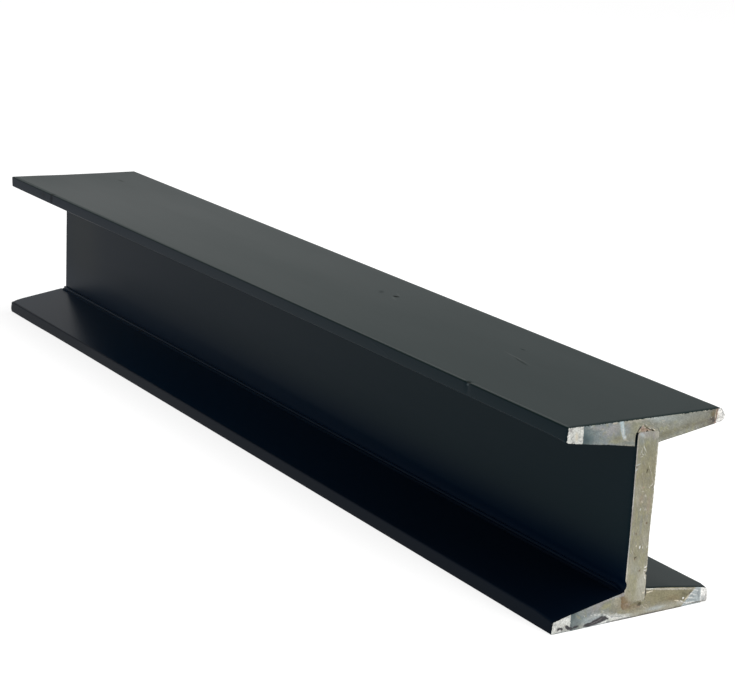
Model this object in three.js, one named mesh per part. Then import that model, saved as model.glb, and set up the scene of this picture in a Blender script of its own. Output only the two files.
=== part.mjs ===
// A short length of built-up steel I-beam.
//
// Two tapered flange bars lie flat, one at the bottom and one turned over at the top. Each has a
// round-bottomed groove along its middle, and the two long edges of a flat web plate stand in the
// grooves. Weld metal fills the round bottoms and holds the five pieces together as one rigid beam.
//
// Units are millimetres. +X runs along the beam, +Y across the flanges and +Z up, with the origin
// at the middle of the underside of the bottom flange.

import * as THREE from 'three';

// ---- Driving dimensions ----

const beamLength = 660;
const beamDepth = 101.6; // 4 in, from the underside to the top face
const flangeWidth = 96.5;
const webThickness = 12.7; // 1/2 in plate

const tipThickness = 7.0; // of a flange at its two long edges
const flangeTaper = 1 / 6; // rise of a flange's inner face for each millimetre inwards

const seatDepth = 6.0; // how far the web's edge stands inside a flange
const grooveArchDepth = 4.3; // the round bottom of a groove, below the web's edge
const webEdgeRadius = 1.2; // on the corners of the web's two long edges

const openClearance = 1.6; // between the web and the groove wall on its -Y side
const tightClearance = 0.3; // between the web and the groove wall on its +Y side
const weldGap = 0.3; // round the weld metal, between it and what it holds
const rootBead = 1.6; // leg of the small bead where the web meets the bottom flange
const beadLip = 0.3; // thickness of the bead's two edges, either side of its hollow face

// The radius of each long edge of the flange bars. The +Y side is worn rounder than the -Y side.
const topFlangeEdges = { minusOuter: 0.8, minusInner: 0.8, plusInner: 2.6, plusOuter: 3.2 };
const bottomFlangeEdges = { minusOuter: 0.5, minusInner: 0.8, plusInner: 1.2, plusOuter: 2.0 };

const curveSteps = 4; // three.js draws twice this many facets on each rounded edge
const archFacets = 12; // on the round bottom of a groove

// ---- Sizes that follow ----

const halfWidth = flangeWidth / 2;
const webFace = webThickness / 2;
const grooveMinus = -(webFace + openClearance); // the groove's wall on the -Y side
const groovePlus = webFace + tightClearance; // the groove's wall on the +Y side
const seatHeight = flangeThicknessAt(webFace) - seatDepth; // of the web's edge, from a flange's outer face

// How thick a flange bar is at a distance across from its middle.
function flangeThicknessAt(across) {
  return tipThickness + (halfWidth - Math.abs(across)) * flangeTaper;
}

// ---- Drawing helpers ----
// An outline is drawn across the beam: the shape's x is the beam's Y and its y is the beam's Z.

const point = (across, up) => new THREE.Vector2(across, up);

// Draws one corner of an outline, with an arc where the corner has a radius. absarc draws the
// straight line up to its own start.
function drawCorner(outline, before, corner, after) {
  if (!corner.radius) {
    outline.lineTo(corner.at.x, corner.at.y);
    return;
  }
  const back = before.at.clone().sub(corner.at).normalize();
  const ahead = after.at.clone().sub(corner.at).normalize();
  const halfAngle = Math.acos(back.dot(ahead)) / 2;
  const setback = corner.radius / Math.tan(halfAngle);
  const start = corner.at.clone().addScaledVector(back, setback);
  const end = corner.at.clone().addScaledVector(ahead, setback);
  const inwards = back.clone().add(ahead).normalize();
  const centre = corner.at.clone().addScaledVector(inwards, corner.radius / Math.sin(halfAngle));
  const clockwise = back.cross(ahead) > 0;
  outline.absarc(
    centre.x,
    centre.y,
    corner.radius,
    start.sub(centre).angle(),
    end.sub(centre).angle(),
    clockwise,
  );
}

// A closed outline through the corners, each { at, radius }, starting halfway along its last side.
function outlineThrough(corners) {
  const outline = new THREE.Shape();
  const start = corners.at(-1).at.clone().lerp(corners[0].at, 0.5);
  outline.moveTo(start.x, start.y);
  corners.forEach((corner, index) => {
    const before = corners[(index + corners.length - 1) % corners.length];
    const after = corners[(index + 1) % corners.length];
    drawCorner(outline, before, corner, after);
  });
  return outline;
}

// The round bottom of a groove, as corners from the -Y side to the +Y side. inset draws it that
// much smaller all round, below the web's edge too, for what fills the groove.
function grooveArch(inset) {
  const arch = new THREE.EllipseCurve(
    (grooveMinus + groovePlus) / 2,
    seatHeight - inset,
    (groovePlus - grooveMinus) / 2 - inset,
    grooveArchDepth - 2 * inset,
    Math.PI,
    2 * Math.PI,
  );
  return arch.getPoints(archFacets).map((at) => ({ at }));
}

// A prism of the outline, as long as the beam and centred along it.
function alongBeam(outline) {
  const geometry = new THREE.ExtrudeGeometry(outline, {
    depth: beamLength,
    steps: 1,
    bevelEnabled: false,
    curveSegments: curveSteps,
  });
  geometry.translate(0, 0, -beamLength / 2);
  const acrossBeam = new THREE.Vector3(0, 1, 0);
  const upwards = new THREE.Vector3(0, 0, 1);
  const alongX = new THREE.Vector3(1, 0, 0);
  return geometry.applyMatrix4(new THREE.Matrix4().makeBasis(acrossBeam, upwards, alongX));
}

// Turns corners drawn for the bottom of the beam into those for its top.
function turnedOver(corners) {
  return corners.map(({ at, radius }) => ({ at: point(at.x, beamDepth - at.y), radius }));
}

// ---- Materials ----

const blackPaint = () => new THREE.MeshStandardMaterial({ color: 0x1d2123, roughness: 0.55, metalness: 0.1 });
const rustyWeld = () => new THREE.MeshStandardMaterial({ color: 0x7d6a57, roughness: 0.8, metalness: 0.4 });

// ---- The pieces ----

// A tapered flange bar with its outer face down and its groove upwards.
function flangeBar(edges) {
  return [
    { at: point(-halfWidth, 0), radius: edges.minusOuter },
    { at: point(halfWidth, 0), radius: edges.plusOuter },
    { at: point(halfWidth, tipThickness), radius: edges.plusInner },
    { at: point(groovePlus, flangeThicknessAt(groovePlus)) },
    ...grooveArch(0).reverse(),
    { at: point(grooveMinus, flangeThicknessAt(grooveMinus)) },
    { at: point(-halfWidth, tipThickness), radius: edges.minusInner },
  ];
}

// The web: a flat plate on edge, from one groove's seat to the other's. The corners part of the way
// up mark the stretch of each side that stands clear of the flanges and the bead, where a cleat fits.
function webPlate() {
  const foot = seatHeight;
  const clearFoot = flangeThicknessAt(webFace) + weldGap + rootBead;
  const clearHead = beamDepth - clearFoot;
  const head = beamDepth - seatHeight;
  return [
    { at: point(-webFace, foot), radius: webEdgeRadius },
    { at: point(webFace, foot), radius: webEdgeRadius },
    { at: point(webFace, clearFoot) },
    { at: point(webFace, clearHead) },
    { at: point(webFace, head), radius: webEdgeRadius },
    { at: point(-webFace, head), radius: webEdgeRadius },
    { at: point(-webFace, clearHead) },
    { at: point(-webFace, clearFoot) },
  ];
}

// Weld metal that fills the round bottom of a groove, up to the web's edge.
function archWeld() {
  return grooveArch(weldGap);
}

// The same fill with a leg up the -Y side of the web, which ends in a hollow-faced bead over the
// groove's mouth.
function beadedWeld() {
  const legInside = -(webFace + weldGap);
  const legOutside = grooveMinus + weldGap;
  const mouth = flangeThicknessAt(grooveMinus) + weldGap;
  const beadHead = mouth + rootBead;
  const beadToe = legInside - rootBead;
  const toeHeight = flangeThicknessAt(beadToe) + weldGap;
  const hollow = rootBead - 2 * beadLip;
  return [
    { at: point(legInside, beadHead) },
    { at: point(legInside - beadLip, beadHead) },
    { at: point(legInside - beadLip, mouth + beadLip), radius: hollow },
    { at: point(beadToe, toeHeight + beadLip) },
    { at: point(beadToe, toeHeight) },
    { at: point(legOutside, mouth) },
    ...archWeld(),
    { at: point(legInside, seatHeight - weldGap) },
  ];
}

// ---- The beam ----

function piece(name, corners, material) {
  const mesh = new THREE.Mesh(alongBeam(outlineThrough(corners)), material);
  mesh.name = name;
  return mesh;
}

const beam = new THREE.Group();
beam.add(
  piece('bottom_flange', flangeBar(bottomFlangeEdges), blackPaint()),
  piece('web_plate', webPlate(), blackPaint()),
  piece('top_flange', turnedOver(flangeBar(topFlangeEdges)), blackPaint()),
  piece('bottom_root_weld', beadedWeld(), rustyWeld()),
  piece('top_root_weld', turnedOver(archWeld()), rustyWeld()),
);

export default beam;
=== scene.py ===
# %% [markdown]
# # A short steel I-beam
# Two tapered flange bars and a web plate make this beam. The web's long edges stand in round-bottomed
# grooves in the flanges, and weld metal fills the grooves. The long faces are painted satin black and the
# two sawn ends are left bare, so one finish is smooth and dark and the other is full of small marks. The
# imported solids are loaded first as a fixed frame. The beam's length, width and depth are read from them,
# and each piece modelled here takes the place of one of them.

# %% Load the frame
import math

import bmesh
import bpy
from mathutils import Matrix, Vector, noise


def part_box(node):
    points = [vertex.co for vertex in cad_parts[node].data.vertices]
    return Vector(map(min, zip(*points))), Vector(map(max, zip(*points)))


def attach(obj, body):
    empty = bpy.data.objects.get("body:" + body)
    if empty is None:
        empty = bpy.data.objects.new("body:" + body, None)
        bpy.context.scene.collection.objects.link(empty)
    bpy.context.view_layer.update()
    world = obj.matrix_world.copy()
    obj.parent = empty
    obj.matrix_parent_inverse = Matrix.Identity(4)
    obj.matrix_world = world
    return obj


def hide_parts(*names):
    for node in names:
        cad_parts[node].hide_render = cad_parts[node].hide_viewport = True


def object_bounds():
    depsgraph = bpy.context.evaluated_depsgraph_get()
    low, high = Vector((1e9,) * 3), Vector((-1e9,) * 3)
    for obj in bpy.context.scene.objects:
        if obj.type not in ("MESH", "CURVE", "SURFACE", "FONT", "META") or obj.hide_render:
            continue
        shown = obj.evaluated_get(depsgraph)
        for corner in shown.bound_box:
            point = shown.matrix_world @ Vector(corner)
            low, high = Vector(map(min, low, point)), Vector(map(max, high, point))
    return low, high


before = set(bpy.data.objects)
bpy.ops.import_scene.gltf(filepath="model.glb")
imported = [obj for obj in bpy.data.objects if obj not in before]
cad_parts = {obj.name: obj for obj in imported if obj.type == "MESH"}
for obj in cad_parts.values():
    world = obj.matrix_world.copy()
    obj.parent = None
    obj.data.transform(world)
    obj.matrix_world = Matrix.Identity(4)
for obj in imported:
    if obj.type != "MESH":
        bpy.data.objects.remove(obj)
cad_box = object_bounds()
MM = 0.001
HALF_LENGTH = cad_box[1].x
HALF_WIDTH = cad_box[1].y
DEPTH = cad_box[1].z
print("beam in mm:", round(HALF_LENGTH * 2000, 1), round(HALF_WIDTH * 2000, 1), round(DEPTH * 1000, 1))

# %% [markdown]
# ## Shader maths
# A finish reads better as a formula than as a wall of nodes. `Amount` wraps one output socket, and Python's
# operators on it add Math nodes. `Recipe` owns a node tree and has one method that adds any node. Colours
# never go through a Math node, which would turn them grey, so they have methods of their own.


# %% Amount: a socket with operators
class Amount:
    """One output of a node. Arithmetic on it adds Math nodes to the same tree."""

    def __init__(self, recipe, socket):
        self.recipe = recipe
        self.socket = socket

    def math(self, operation, first, second):
        return self.recipe.node("ShaderNodeMath", {"operation": operation}, {0: first, 1: second})

    def __add__(self, other):
        return self.math("ADD", self, other)

    def __sub__(self, other):
        return self.math("SUBTRACT", self, other)

    def __rsub__(self, other):
        return self.math("SUBTRACT", other, self)

    def __mul__(self, other):
        return self.math("MULTIPLY", self, other)

    def larger(self, other):
        return self.math("MAXIMUM", self, other)

    __radd__ = __add__
    __rmul__ = __mul__


# %% [markdown]
# A finish is a tree of nodes. It could be wired with one line for each node and one for each link, but then
# the recipe is lost in the wiring. Here one method makes any node and links its inputs. The others name the
# few patterns that the finishes share: a ramp, a ragged spot, a zone beyond a plane, and noise.

# %% Recipe: a node tree that is written as formulas
class Recipe:
    """A node tree. `node` adds any node; the other methods name the few that are used often."""

    def __init__(self, tree):
        self.tree = tree
        self.tree.nodes.clear()

    def node(self, kind, settings=None, inputs=None, output=0):
        made = self.tree.nodes.new(kind)
        for name, value in (settings or {}).items():
            setattr(made, name, value)
        for key, value in (inputs or {}).items():
            if isinstance(value, Amount):
                self.tree.links.new(value.socket, made.inputs[key])
            else:
                made.inputs[key].default_value = value
        if not made.outputs:
            return None
        return Amount(self, made.outputs[output])

    def place(self):
        """The point on the object, in metres."""
        return self.node("ShaderNodeTexCoord", output=3)

    def moved(self, where, centre, half=(1, 1, 1), turn=(0, 0, 0)):
        """`where`, measured from a centre, along turned axes, in half sizes."""
        inputs = {"Vector": where, "Location": centre, "Rotation": turn, "Scale": half}
        return self.node("ShaderNodeMapping", {"vector_type": "TEXTURE"}, inputs)

    def ramp(self, amount, zero_at, one_at, low=0.0, high=1.0, curve="SMOOTHSTEP"):
        """A climb from low to high, held at both ends. The smooth curve also needs fewer shader steps."""
        inputs = {0: amount, 1: zero_at, 2: one_at, 3: low, 4: high}
        return self.node("ShaderNodeMapRange", {"interpolation_type": curve}, inputs)

    def shaken(self, where, size, by):
        """`where`, nudged about by noise, so that an outline drawn on it is ragged."""
        nudge = self.grain(where, size, 4.0, output=1)
        spread = {0: nudge, 1: (by, by, by), 2: where}
        added = self.node("ShaderNodeVectorMath", {"operation": "MULTIPLY_ADD"}, spread)
        middle = {0: added, 1: (by / 2, by / 2, by / 2)}
        return self.node("ShaderNodeVectorMath", {"operation": "SUBTRACT"}, middle)

    def spot(self, where, centre, half, turn=(0, 0, 0), soft=0.35, strength=1.0):
        """Full strength inside an ellipsoid and 0 outside it, with a soft rim.

        A spherical gradient is 1 at its centre and 0 at its rim, and its own mapping moves, turns and
        stretches it. A separate Mapping node for each of a hundred marks would overfill the shader."""
        ball = self.node("ShaderNodeTexGradient", {"gradient_type": "SPHERICAL"}, {"Vector": where}, 1)
        fit = ball.socket.node.texture_mapping
        fit.vector_type = "TEXTURE"
        fit.translation = centre
        fit.rotation = turn
        fit.scale = Vector(half) * (1 + soft)
        return self.ramp(ball, 0, 2 * soft / (1 + soft), 0.0, strength)

    def beyond(self, where, point, direction, soft):
        """0 before a plane through a point and 1 beyond it, climbing over a soft distance."""
        offset = self.node("ShaderNodeVectorMath", {"operation": "SUBTRACT"}, {0: where, 1: point})
        along = Vector(direction).normalized()
        run = self.node("ShaderNodeVectorMath", {"operation": "DOT_PRODUCT"}, {0: offset, 1: along}, 1)
        return self.ramp(run, -soft / 2, soft / 2)

    def grain(self, where, size, detail=3.0, stretch=(1, 1, 1), turn=(0, 0, 0), output=0):
        """Soft noise between 0 and 1 whose blobs are about `size` metres across."""
        local = self.moved(where, (0, 0, 0), Vector(stretch) * size, turn)
        inputs = {"Vector": local, "Scale": 1.0, "Detail": detail}
        return self.node("ShaderNodeTexNoise", None, inputs, output)

    def graded(self, amount, stops):
        """A colour that runs through (place, colour) stops."""
        first = stops[0][0]
        last = stops[-1][0]
        share = self.ramp(amount, first, last, curve="LINEAR")
        run = self.node("ShaderNodeValToRGB", None, {0: share})
        band = run.socket.node.color_ramp
        band.elements[0].color = stops[0][1]
        band.elements[1].color = stops[-1][1]
        for place, colour in stops[1:-1]:
            made = band.elements.new((place - first) / (last - first))
            made.color = colour
        return run

    def blend(self, amount, under, over):
        """One colour over another: only `over` is seen where the amount is 1."""
        return self.node("ShaderNodeMix", {"data_type": "RGBA"}, {0: amount, 6: under, 7: over}, 2)

    def brighter(self, colour, times):
        """A colour multiplied by an amount."""
        return self.node("ShaderNodeVectorMath", {"operation": "SCALE"}, {0: colour, 3: times})


def tint(red, green, blue):
    """A colour given in screen values, from 0 to 255, as the linear numbers that a shader mixes."""
    values = [part / 255 for part in (red, green, blue)]
    linear = [v / 12.92 if v <= 0.04045 else ((v + 0.055) / 1.055) ** 2.4 for v in values]
    return (*linear, 1.0)


# %% [markdown]
# ## The room
# Black steel is seen by what its paint reflects. A white world that only the camera, glossy and
# transmission rays see gives a clean white background and an even sheen on the paint, while a dimmer value
# for all other rays and two large area lamps light the surfaces at a plain level.

# %% World
ROOM_LIGHT = 0.55
world = bpy.data.worlds.new("soft_white_room")
world.use_nodes = True
room = Recipe(world.node_tree)


def seen_rays(recipe):
    """1 for the rays that should meet a white background."""
    camera_ray = recipe.node("ShaderNodeLightPath", output="Is Camera Ray")
    glossy_ray = recipe.node("ShaderNodeLightPath", output="Is Glossy Ray")
    glass_ray = recipe.node("ShaderNodeLightPath", output="Is Transmission Ray")
    return camera_ray.larger(glossy_ray).larger(glass_ray)


room_strength = room.ramp(seen_rays(room), 0, 1, ROOM_LIGHT, 1.0)
room_back = room.node("ShaderNodeBackground", None, {"Strength": room_strength})
room.node("ShaderNodeOutputWorld", None, {"Surface": room_back})
bpy.context.scene.world = world
print("world", world.name)

# %% [markdown]
# The floor is one large flat sheet. To the camera it adds a steady glow to a dim diffuse, so that open
# floor is white and the shadow under the beam stays as a soft grey. To the light that bounces it is plain
# pale grey.

# %% Floor
FLOOR_PALE = (0.8, 0.8, 0.8, 1)
FLOOR_DIM = (0.4, 0.4, 0.4, 1)
FLOOR_GLOW = 0.8
FLOOR_REACH = 20.0


def new_material(name):
    material = bpy.data.materials.new(name)
    material.use_nodes = True
    return material


def new_object(name, shape):
    """Turns a bmesh into an object that sits at the origin."""
    mesh = bpy.data.meshes.new(name)
    shape.to_mesh(mesh)
    shape.free()
    made = bpy.data.objects.new(name, mesh)
    bpy.context.scene.collection.objects.link(made)
    return made


floor_paper = new_material("pale_floor")
paper = Recipe(floor_paper.node_tree)
paper_lit = paper.node("ShaderNodeBsdfDiffuse", None, {"Color": FLOOR_PALE})
paper_dim = paper.node("ShaderNodeBsdfDiffuse", None, {"Color": FLOOR_DIM})
paper_glow = paper.node("ShaderNodeEmission", None, {"Strength": FLOOR_GLOW})
paper_shown = paper.node("ShaderNodeAddShader", None, {0: paper_dim, 1: paper_glow})
paper_mix = paper.node("ShaderNodeMixShader", None, {0: seen_rays(paper), 1: paper_lit, 2: paper_shown})
paper.node("ShaderNodeOutputMaterial", None, {"Surface": paper_mix})

sheet = bmesh.new()
bmesh.ops.create_grid(sheet, x_segments=1, y_segments=1, size=FLOOR_REACH)
floor = new_object("floor", sheet)
floor.data.materials.append(floor_paper)
print("floor", floor.dimensions[:])

# %% [markdown]
# Two square area lamps stand for softboxes. A sun or a spot would draw hard shadows, and the world alone
# would leave the sawn end flat. The larger one hangs overhead, and the other faces the near end.

# %% Lamps
# (name, place, side of the square, power in watts)
LAMPS = [
    ("overhead_lamp", (0.3, 0.5, 1.8), 1.2, 22),
    ("end_lamp", (1.9, 0.9, 1.0), 1.0, 12),
]


def soft_lamp(name, place, size, power):
    """A square area lamp that points at the middle of the beam."""
    data = bpy.data.lights.new(name, "AREA")
    data.shape = "SQUARE"
    data.size = size
    data.energy = power
    lamp = bpy.data.objects.new(name, data)
    lamp.location = place
    aim = Vector((0, 0, DEPTH / 2)) - Vector(place)
    lamp.rotation_euler = aim.to_track_quat("-Z", "Y").to_euler()
    bpy.context.scene.collection.objects.link(lamp)


for lamp_row in LAMPS:
    soft_lamp(*lamp_row)
print("lamps", len(bpy.data.lights))

# %% [markdown]
# ## The camera
# It stands low beside the near end and looks along the beam. A long lens keeps the perspective gentle. The
# camera is rolled by three degrees, which is what tilts the beam's end a little.

# %% Camera
CAMERA_PLACE = Vector((0.996002, -0.588828, 0.364143))
CAMERA_AIM = Vector((0.082567, 0.0, 0.076218))
CAMERA_ROLL = math.radians(2.84284)
LENS = 95.884
SENSOR_WIDTH = 36.0
CLIP_START = 0.01
camera_data = bpy.data.cameras.new("camera")
camera_data.lens = LENS
camera_data.sensor_width = SENSOR_WIDTH
camera_data.clip_start = CLIP_START
camera = bpy.data.objects.new("camera", camera_data)
look = (CAMERA_AIM - CAMERA_PLACE).to_track_quat("-Z", "Y").to_matrix().to_4x4()
camera.matrix_world = Matrix.Translation(CAMERA_PLACE) @ look @ Matrix.Rotation(CAMERA_ROLL, 4, "Z")
bpy.context.scene.collection.objects.link(camera)
bpy.context.scene.camera = camera
bpy.context.scene.view_settings.view_transform = "Standard"
print("camera distance", round((CAMERA_AIM - CAMERA_PLACE).length, 3))

# %% [markdown]
# ## Modelling helpers
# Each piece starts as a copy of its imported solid. The copy is loose triangles, so its doubles are merged
# and its flat faces joined back into whole faces. After that the operators can bevel and cut it cleanly.

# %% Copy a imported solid
TOUCH = 0.002 * MM
DOUBLES = 0.01 * MM
FLAT_TURN = math.radians(1)


def packed_copy(node):
    """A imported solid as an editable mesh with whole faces."""
    shape = bmesh.new()
    shape.from_mesh(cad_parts[node].data)
    bmesh.ops.remove_doubles(shape, verts=shape.verts, dist=DOUBLES)
    bmesh.ops.dissolve_limit(shape, angle_limit=FLAT_TURN, verts=shape.verts, edges=shape.edges)
    return shape


def at_an_end(corner):
    return abs(abs(corner.co.x) - HALF_LENGTH) < TOUCH


def held(amount):
    """An amount, kept between 0 and 1."""
    return min(1.0, max(0.0, amount))


def eased(share):
    """The same climb from 0 to 1, with a soft start and a soft end."""
    return share * share * (3 - 2 * share)


# %% [markdown]
# A saw leaves a sharp edge, and paint rolls a little way round it. A small bevel on the outline of both
# ends catches the light there and carries the paint's dark rim. The edges inside the grooves stay sharp,
# because weld metal meets them.

# %% Ease the sawn edges
EDGE_EASE = 0.3 * MM


def ease_sawn_edges(shape, exposed):
    """Bevels the outline of both ends, but only where an edge's middle is exposed to the air."""
    outline = []
    for edge in shape.edges:
        if all(at_an_end(corner) for corner in edge.verts):
            middle = (edge.verts[0].co + edge.verts[1].co) / 2
            if exposed(middle):
                outline.append(edge)
    bmesh.ops.bevel(
        shape,
        geom=outline,
        offset=EDGE_EASE,
        offset_type="OFFSET",
        affect="EDGES",
        segments=2,
        profile=0.5,
        material=-1,
        clamp_overlap=True,
    )


# %% [markdown]
# The marks on the near end are a millimetre across, while the long faces are flat. So only a short collar
# at each end is cut into a fine grid, by planes across the width and the height. The long faces stay a few
# large faces, which keeps the mesh light.

# %% Cut a fine grid into an end
COLLAR = 6.0 * MM
RING_DEPTHS = (1.0, 0.6, 0.35, 0.18)
NEAR_CELL = 0.5 * MM
FAR_CELL = 1.2 * MM
ON_PLANE = TOUCH / 4


def corners_beyond(shape, side, depth):
    limit = HALF_LENGTH - depth - TOUCH
    return {corner for corner in shape.verts if corner.co.x * side > limit}


def end_fade(corner, side=1, reach=COLLAR):
    """1 on an end, falling to 0 at a distance behind it."""
    return max(0.0, 1 - (HALF_LENGTH - corner.co.x * side) / reach)


def cut_plane(shape, axis, place, within=None):
    """Cuts with a plane across one axis: the whole mesh, or the faces whose corners all lie within a set."""
    if within is None:
        part = [*shape.verts, *shape.edges, *shape.faces]
    else:
        faces = [face for face in shape.faces if all(corner in within for corner in face.verts)]
        edges = {edge for face in faces for edge in face.edges}
        part = [*within, *edges, *faces]
    direction = Vector((0, 0, 0))
    direction[axis] = 1
    point = direction * place
    bmesh.ops.bisect_plane(shape, geom=part, dist=ON_PLANE, plane_co=point, plane_no=direction)


def cut_collar(shape, side, cell):
    """Rings round one end of a piece, and then a grid of square cells across it."""
    for share in RING_DEPTHS:
        cut_plane(shape, 0, side * (HALF_LENGTH - share * COLLAR))
    for axis in (1, 2):
        reach = [corner.co[axis] for corner in corners_beyond(shape, side, COLLAR)]
        low, high = min(reach), max(reach)
        steps = max(2, round((high - low) / cell))
        for step in range(1, steps):
            place = low + (high - low) * step / steps
            cut_plane(shape, axis, place, corners_beyond(shape, side, COLLAR))


# %% [markdown]
# The heat of a long weld pulls the piece it joins. Here it has drawn the top flange about three quarters of
# a degree out of square, a little more at the near end. The same small movement is given to every piece,
# fading out at half height, so that they all stay in touch.

# %% The weld's pull
PULL_MIDDLE = 1.29 * MM
PULL_CHANGE = 0.52 * MM
PULL_BEGINS = 0.5
PULL_CLIMB = 0.36
PULL_EASES = 0.72
PULL_AFTER = 0.4


def weld_pull(point):
    """How far the metal at a point has been drawn down."""
    share = eased(held((point.z / DEPTH - PULL_BEGINS) / PULL_CLIMB))
    across = (point.y + HALF_WIDTH) / (2 * HALF_WIDTH)
    across -= (1 - PULL_AFTER) * max(0.0, across - PULL_EASES)
    along = point.x / HALF_LENGTH
    return share * across * (PULL_MIDDLE + PULL_CHANGE * along)


def pull_by_welds(shape):
    for corner in shape.verts:
        corner.co.z -= weld_pull(corner.co)


# %% [markdown]
# A finished mesh has three materials: paint on the long faces, and a bare finish for each end. On the
# flanges the paint has rolled a hair's breadth round the edge, over the outer step of the small bevel and,
# here and there, over its inner step. On the web the saw took the paint off cleanly, right out to the edge.
# Where the plate and the weld stand inside the lower groove there is no paint at all, only the bare finish.

# %% Choose a finish for each face
PAINTED_RIM = 0.7
BARE_RIM = 0.05
INNER_STEP = 0.99
RIM_BREAK = 0.75 * MM
RIM_KEPT = 0.1
BURIED_BELOW = 12.4 * MM
BURIED_REACH = 1.2 * MM


def finish_of(face, rim):
    """0 for paint, 1 for the near end and 2 for the far end."""
    middle = face.calc_center_median()
    side = 1 if middle.x > 0 else -1
    facing = face.normal.x * side
    if rim == BARE_RIM and middle.z < BURIED_BELOW and middle.x > HALF_LENGTH - BURIED_REACH:
        return 1
    if middle.x * side < HALF_LENGTH - EDGE_EASE - TOUCH or facing < rim:
        return 0
    on_inner_step = rim == PAINTED_RIM and facing < INNER_STEP
    if on_inner_step and noise.noise(middle / RIM_BREAK) > RIM_KEPT:
        return 0
    return 1 if side > 0 else 2


def choose_finishes(shape, rim):
    """Numbers each face's finish, while the ends are still flat."""
    bmesh.ops.recalc_face_normals(shape, faces=shape.faces)
    shape.normal_update()
    for face in shape.faces:
        face.material_index = finish_of(face, rim)


# %% [markdown]
# Faces are smooth, apart from the edges that turn by more than thirty degrees, so flats stay flat and
# arrises stay crisp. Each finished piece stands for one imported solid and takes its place.

# %% Finish a piece
CRISP_TURN = math.radians(30)
MERGE = 0.002 * MM


def finish_piece(node, shape, near_end, far_end):
    """Makes the object, gives it its finishes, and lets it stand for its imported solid."""
    bmesh.ops.remove_doubles(shape, verts=shape.verts, dist=MERGE)
    bmesh.ops.dissolve_degenerate(shape, dist=MERGE, edges=shape.edges)
    shape.normal_update()
    for face in shape.faces:
        face.smooth = True
    for edge in shape.edges:
        edge.smooth = edge.calc_face_angle(0) < CRISP_TURN
    open_edges = sum(1 for edge in shape.edges if not edge.is_manifold)
    made = new_object(node + "_dressed", shape)
    for material in (PAINT, near_end, far_end):
        made.data.materials.append(material)
    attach(made, "root")
    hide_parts(node)
    print(made.name, "faces:", len(made.data.polygons), "open edges:", open_edges)


# %% [markdown]
# ## Tints
# Bare steel that has stood in a shop is not one grey. It carries thin films that run from teal to olive,
# brown near the weld, and it is bright only where it was ground last. Each tint has a name, so that the
# tables of marks read like notes on a real face.

# %% Tints
BRIGHT = tint(236, 235, 231)
CLEAN = tint(206, 207, 201)
SCRAPED = tint(205, 201, 190)
PALE = tint(168, 165, 151)
HAZE = tint(164, 180, 183)
FROST = tint(178, 187, 189)
COOL = tint(132, 139, 141)
TEAL = tint(102, 114, 116)
TEAL_DEEP = tint(80, 97, 99)
TEAL_DARK = tint(56, 76, 80)
SLATE = tint(121, 130, 130)
WARM_GREY = tint(146, 146, 142)
VIOLET_GREY = tint(156, 152, 150)
GREEN_GREY = tint(142, 146, 139)
OLIVE = tint(132, 132, 114)
OLIVE_DEEP = tint(112, 108, 82)
OLIVE_WARM = tint(138, 132, 104)
MOSS = tint(152, 150, 112)
SAGE = tint(134, 135, 123)
PUTTY = tint(144, 140, 123)
SAND = tint(156, 152, 133)
KHAKI = tint(138, 132, 108)
TAN = tint(152, 146, 126)
DRAB = tint(134, 130, 108)
BROWN = tint(124, 104, 76)
BROWN_GREY = tint(108, 103, 92)
ROSE = tint(164, 142, 130)
CREAM = tint(212, 203, 182)
PIT = tint(70, 60, 44)
# the two darkest are real smears and dirt, and also serve as painted shade in holes, seams and on the lower
# arris
SMEAR_AND_SHADE = tint(43, 40, 44)
SOOT_AND_SHADE = tint(30, 27, 24)
print("palest and darkest:", BRIGHT[0], SOOT_AND_SHADE[0])

# %% [markdown]
# ## The marks on the near end
# Every film, scrape, pit and nick is one line of a table: what it is, its tint and strength, how soft its
# rim is, where its middle is, its half sizes, and how far it is turned. The last number is a depth. The
# finish reads the table to colour the face, and the modelling reads it to press the deeper marks into the
# mesh, so colour and shape always agree. Places are in millimetres across and up the end, and turns are in
# degrees. A zone is all that lies beyond a line, and a zone with a crinkle number is torn and creased
# steel.

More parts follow.
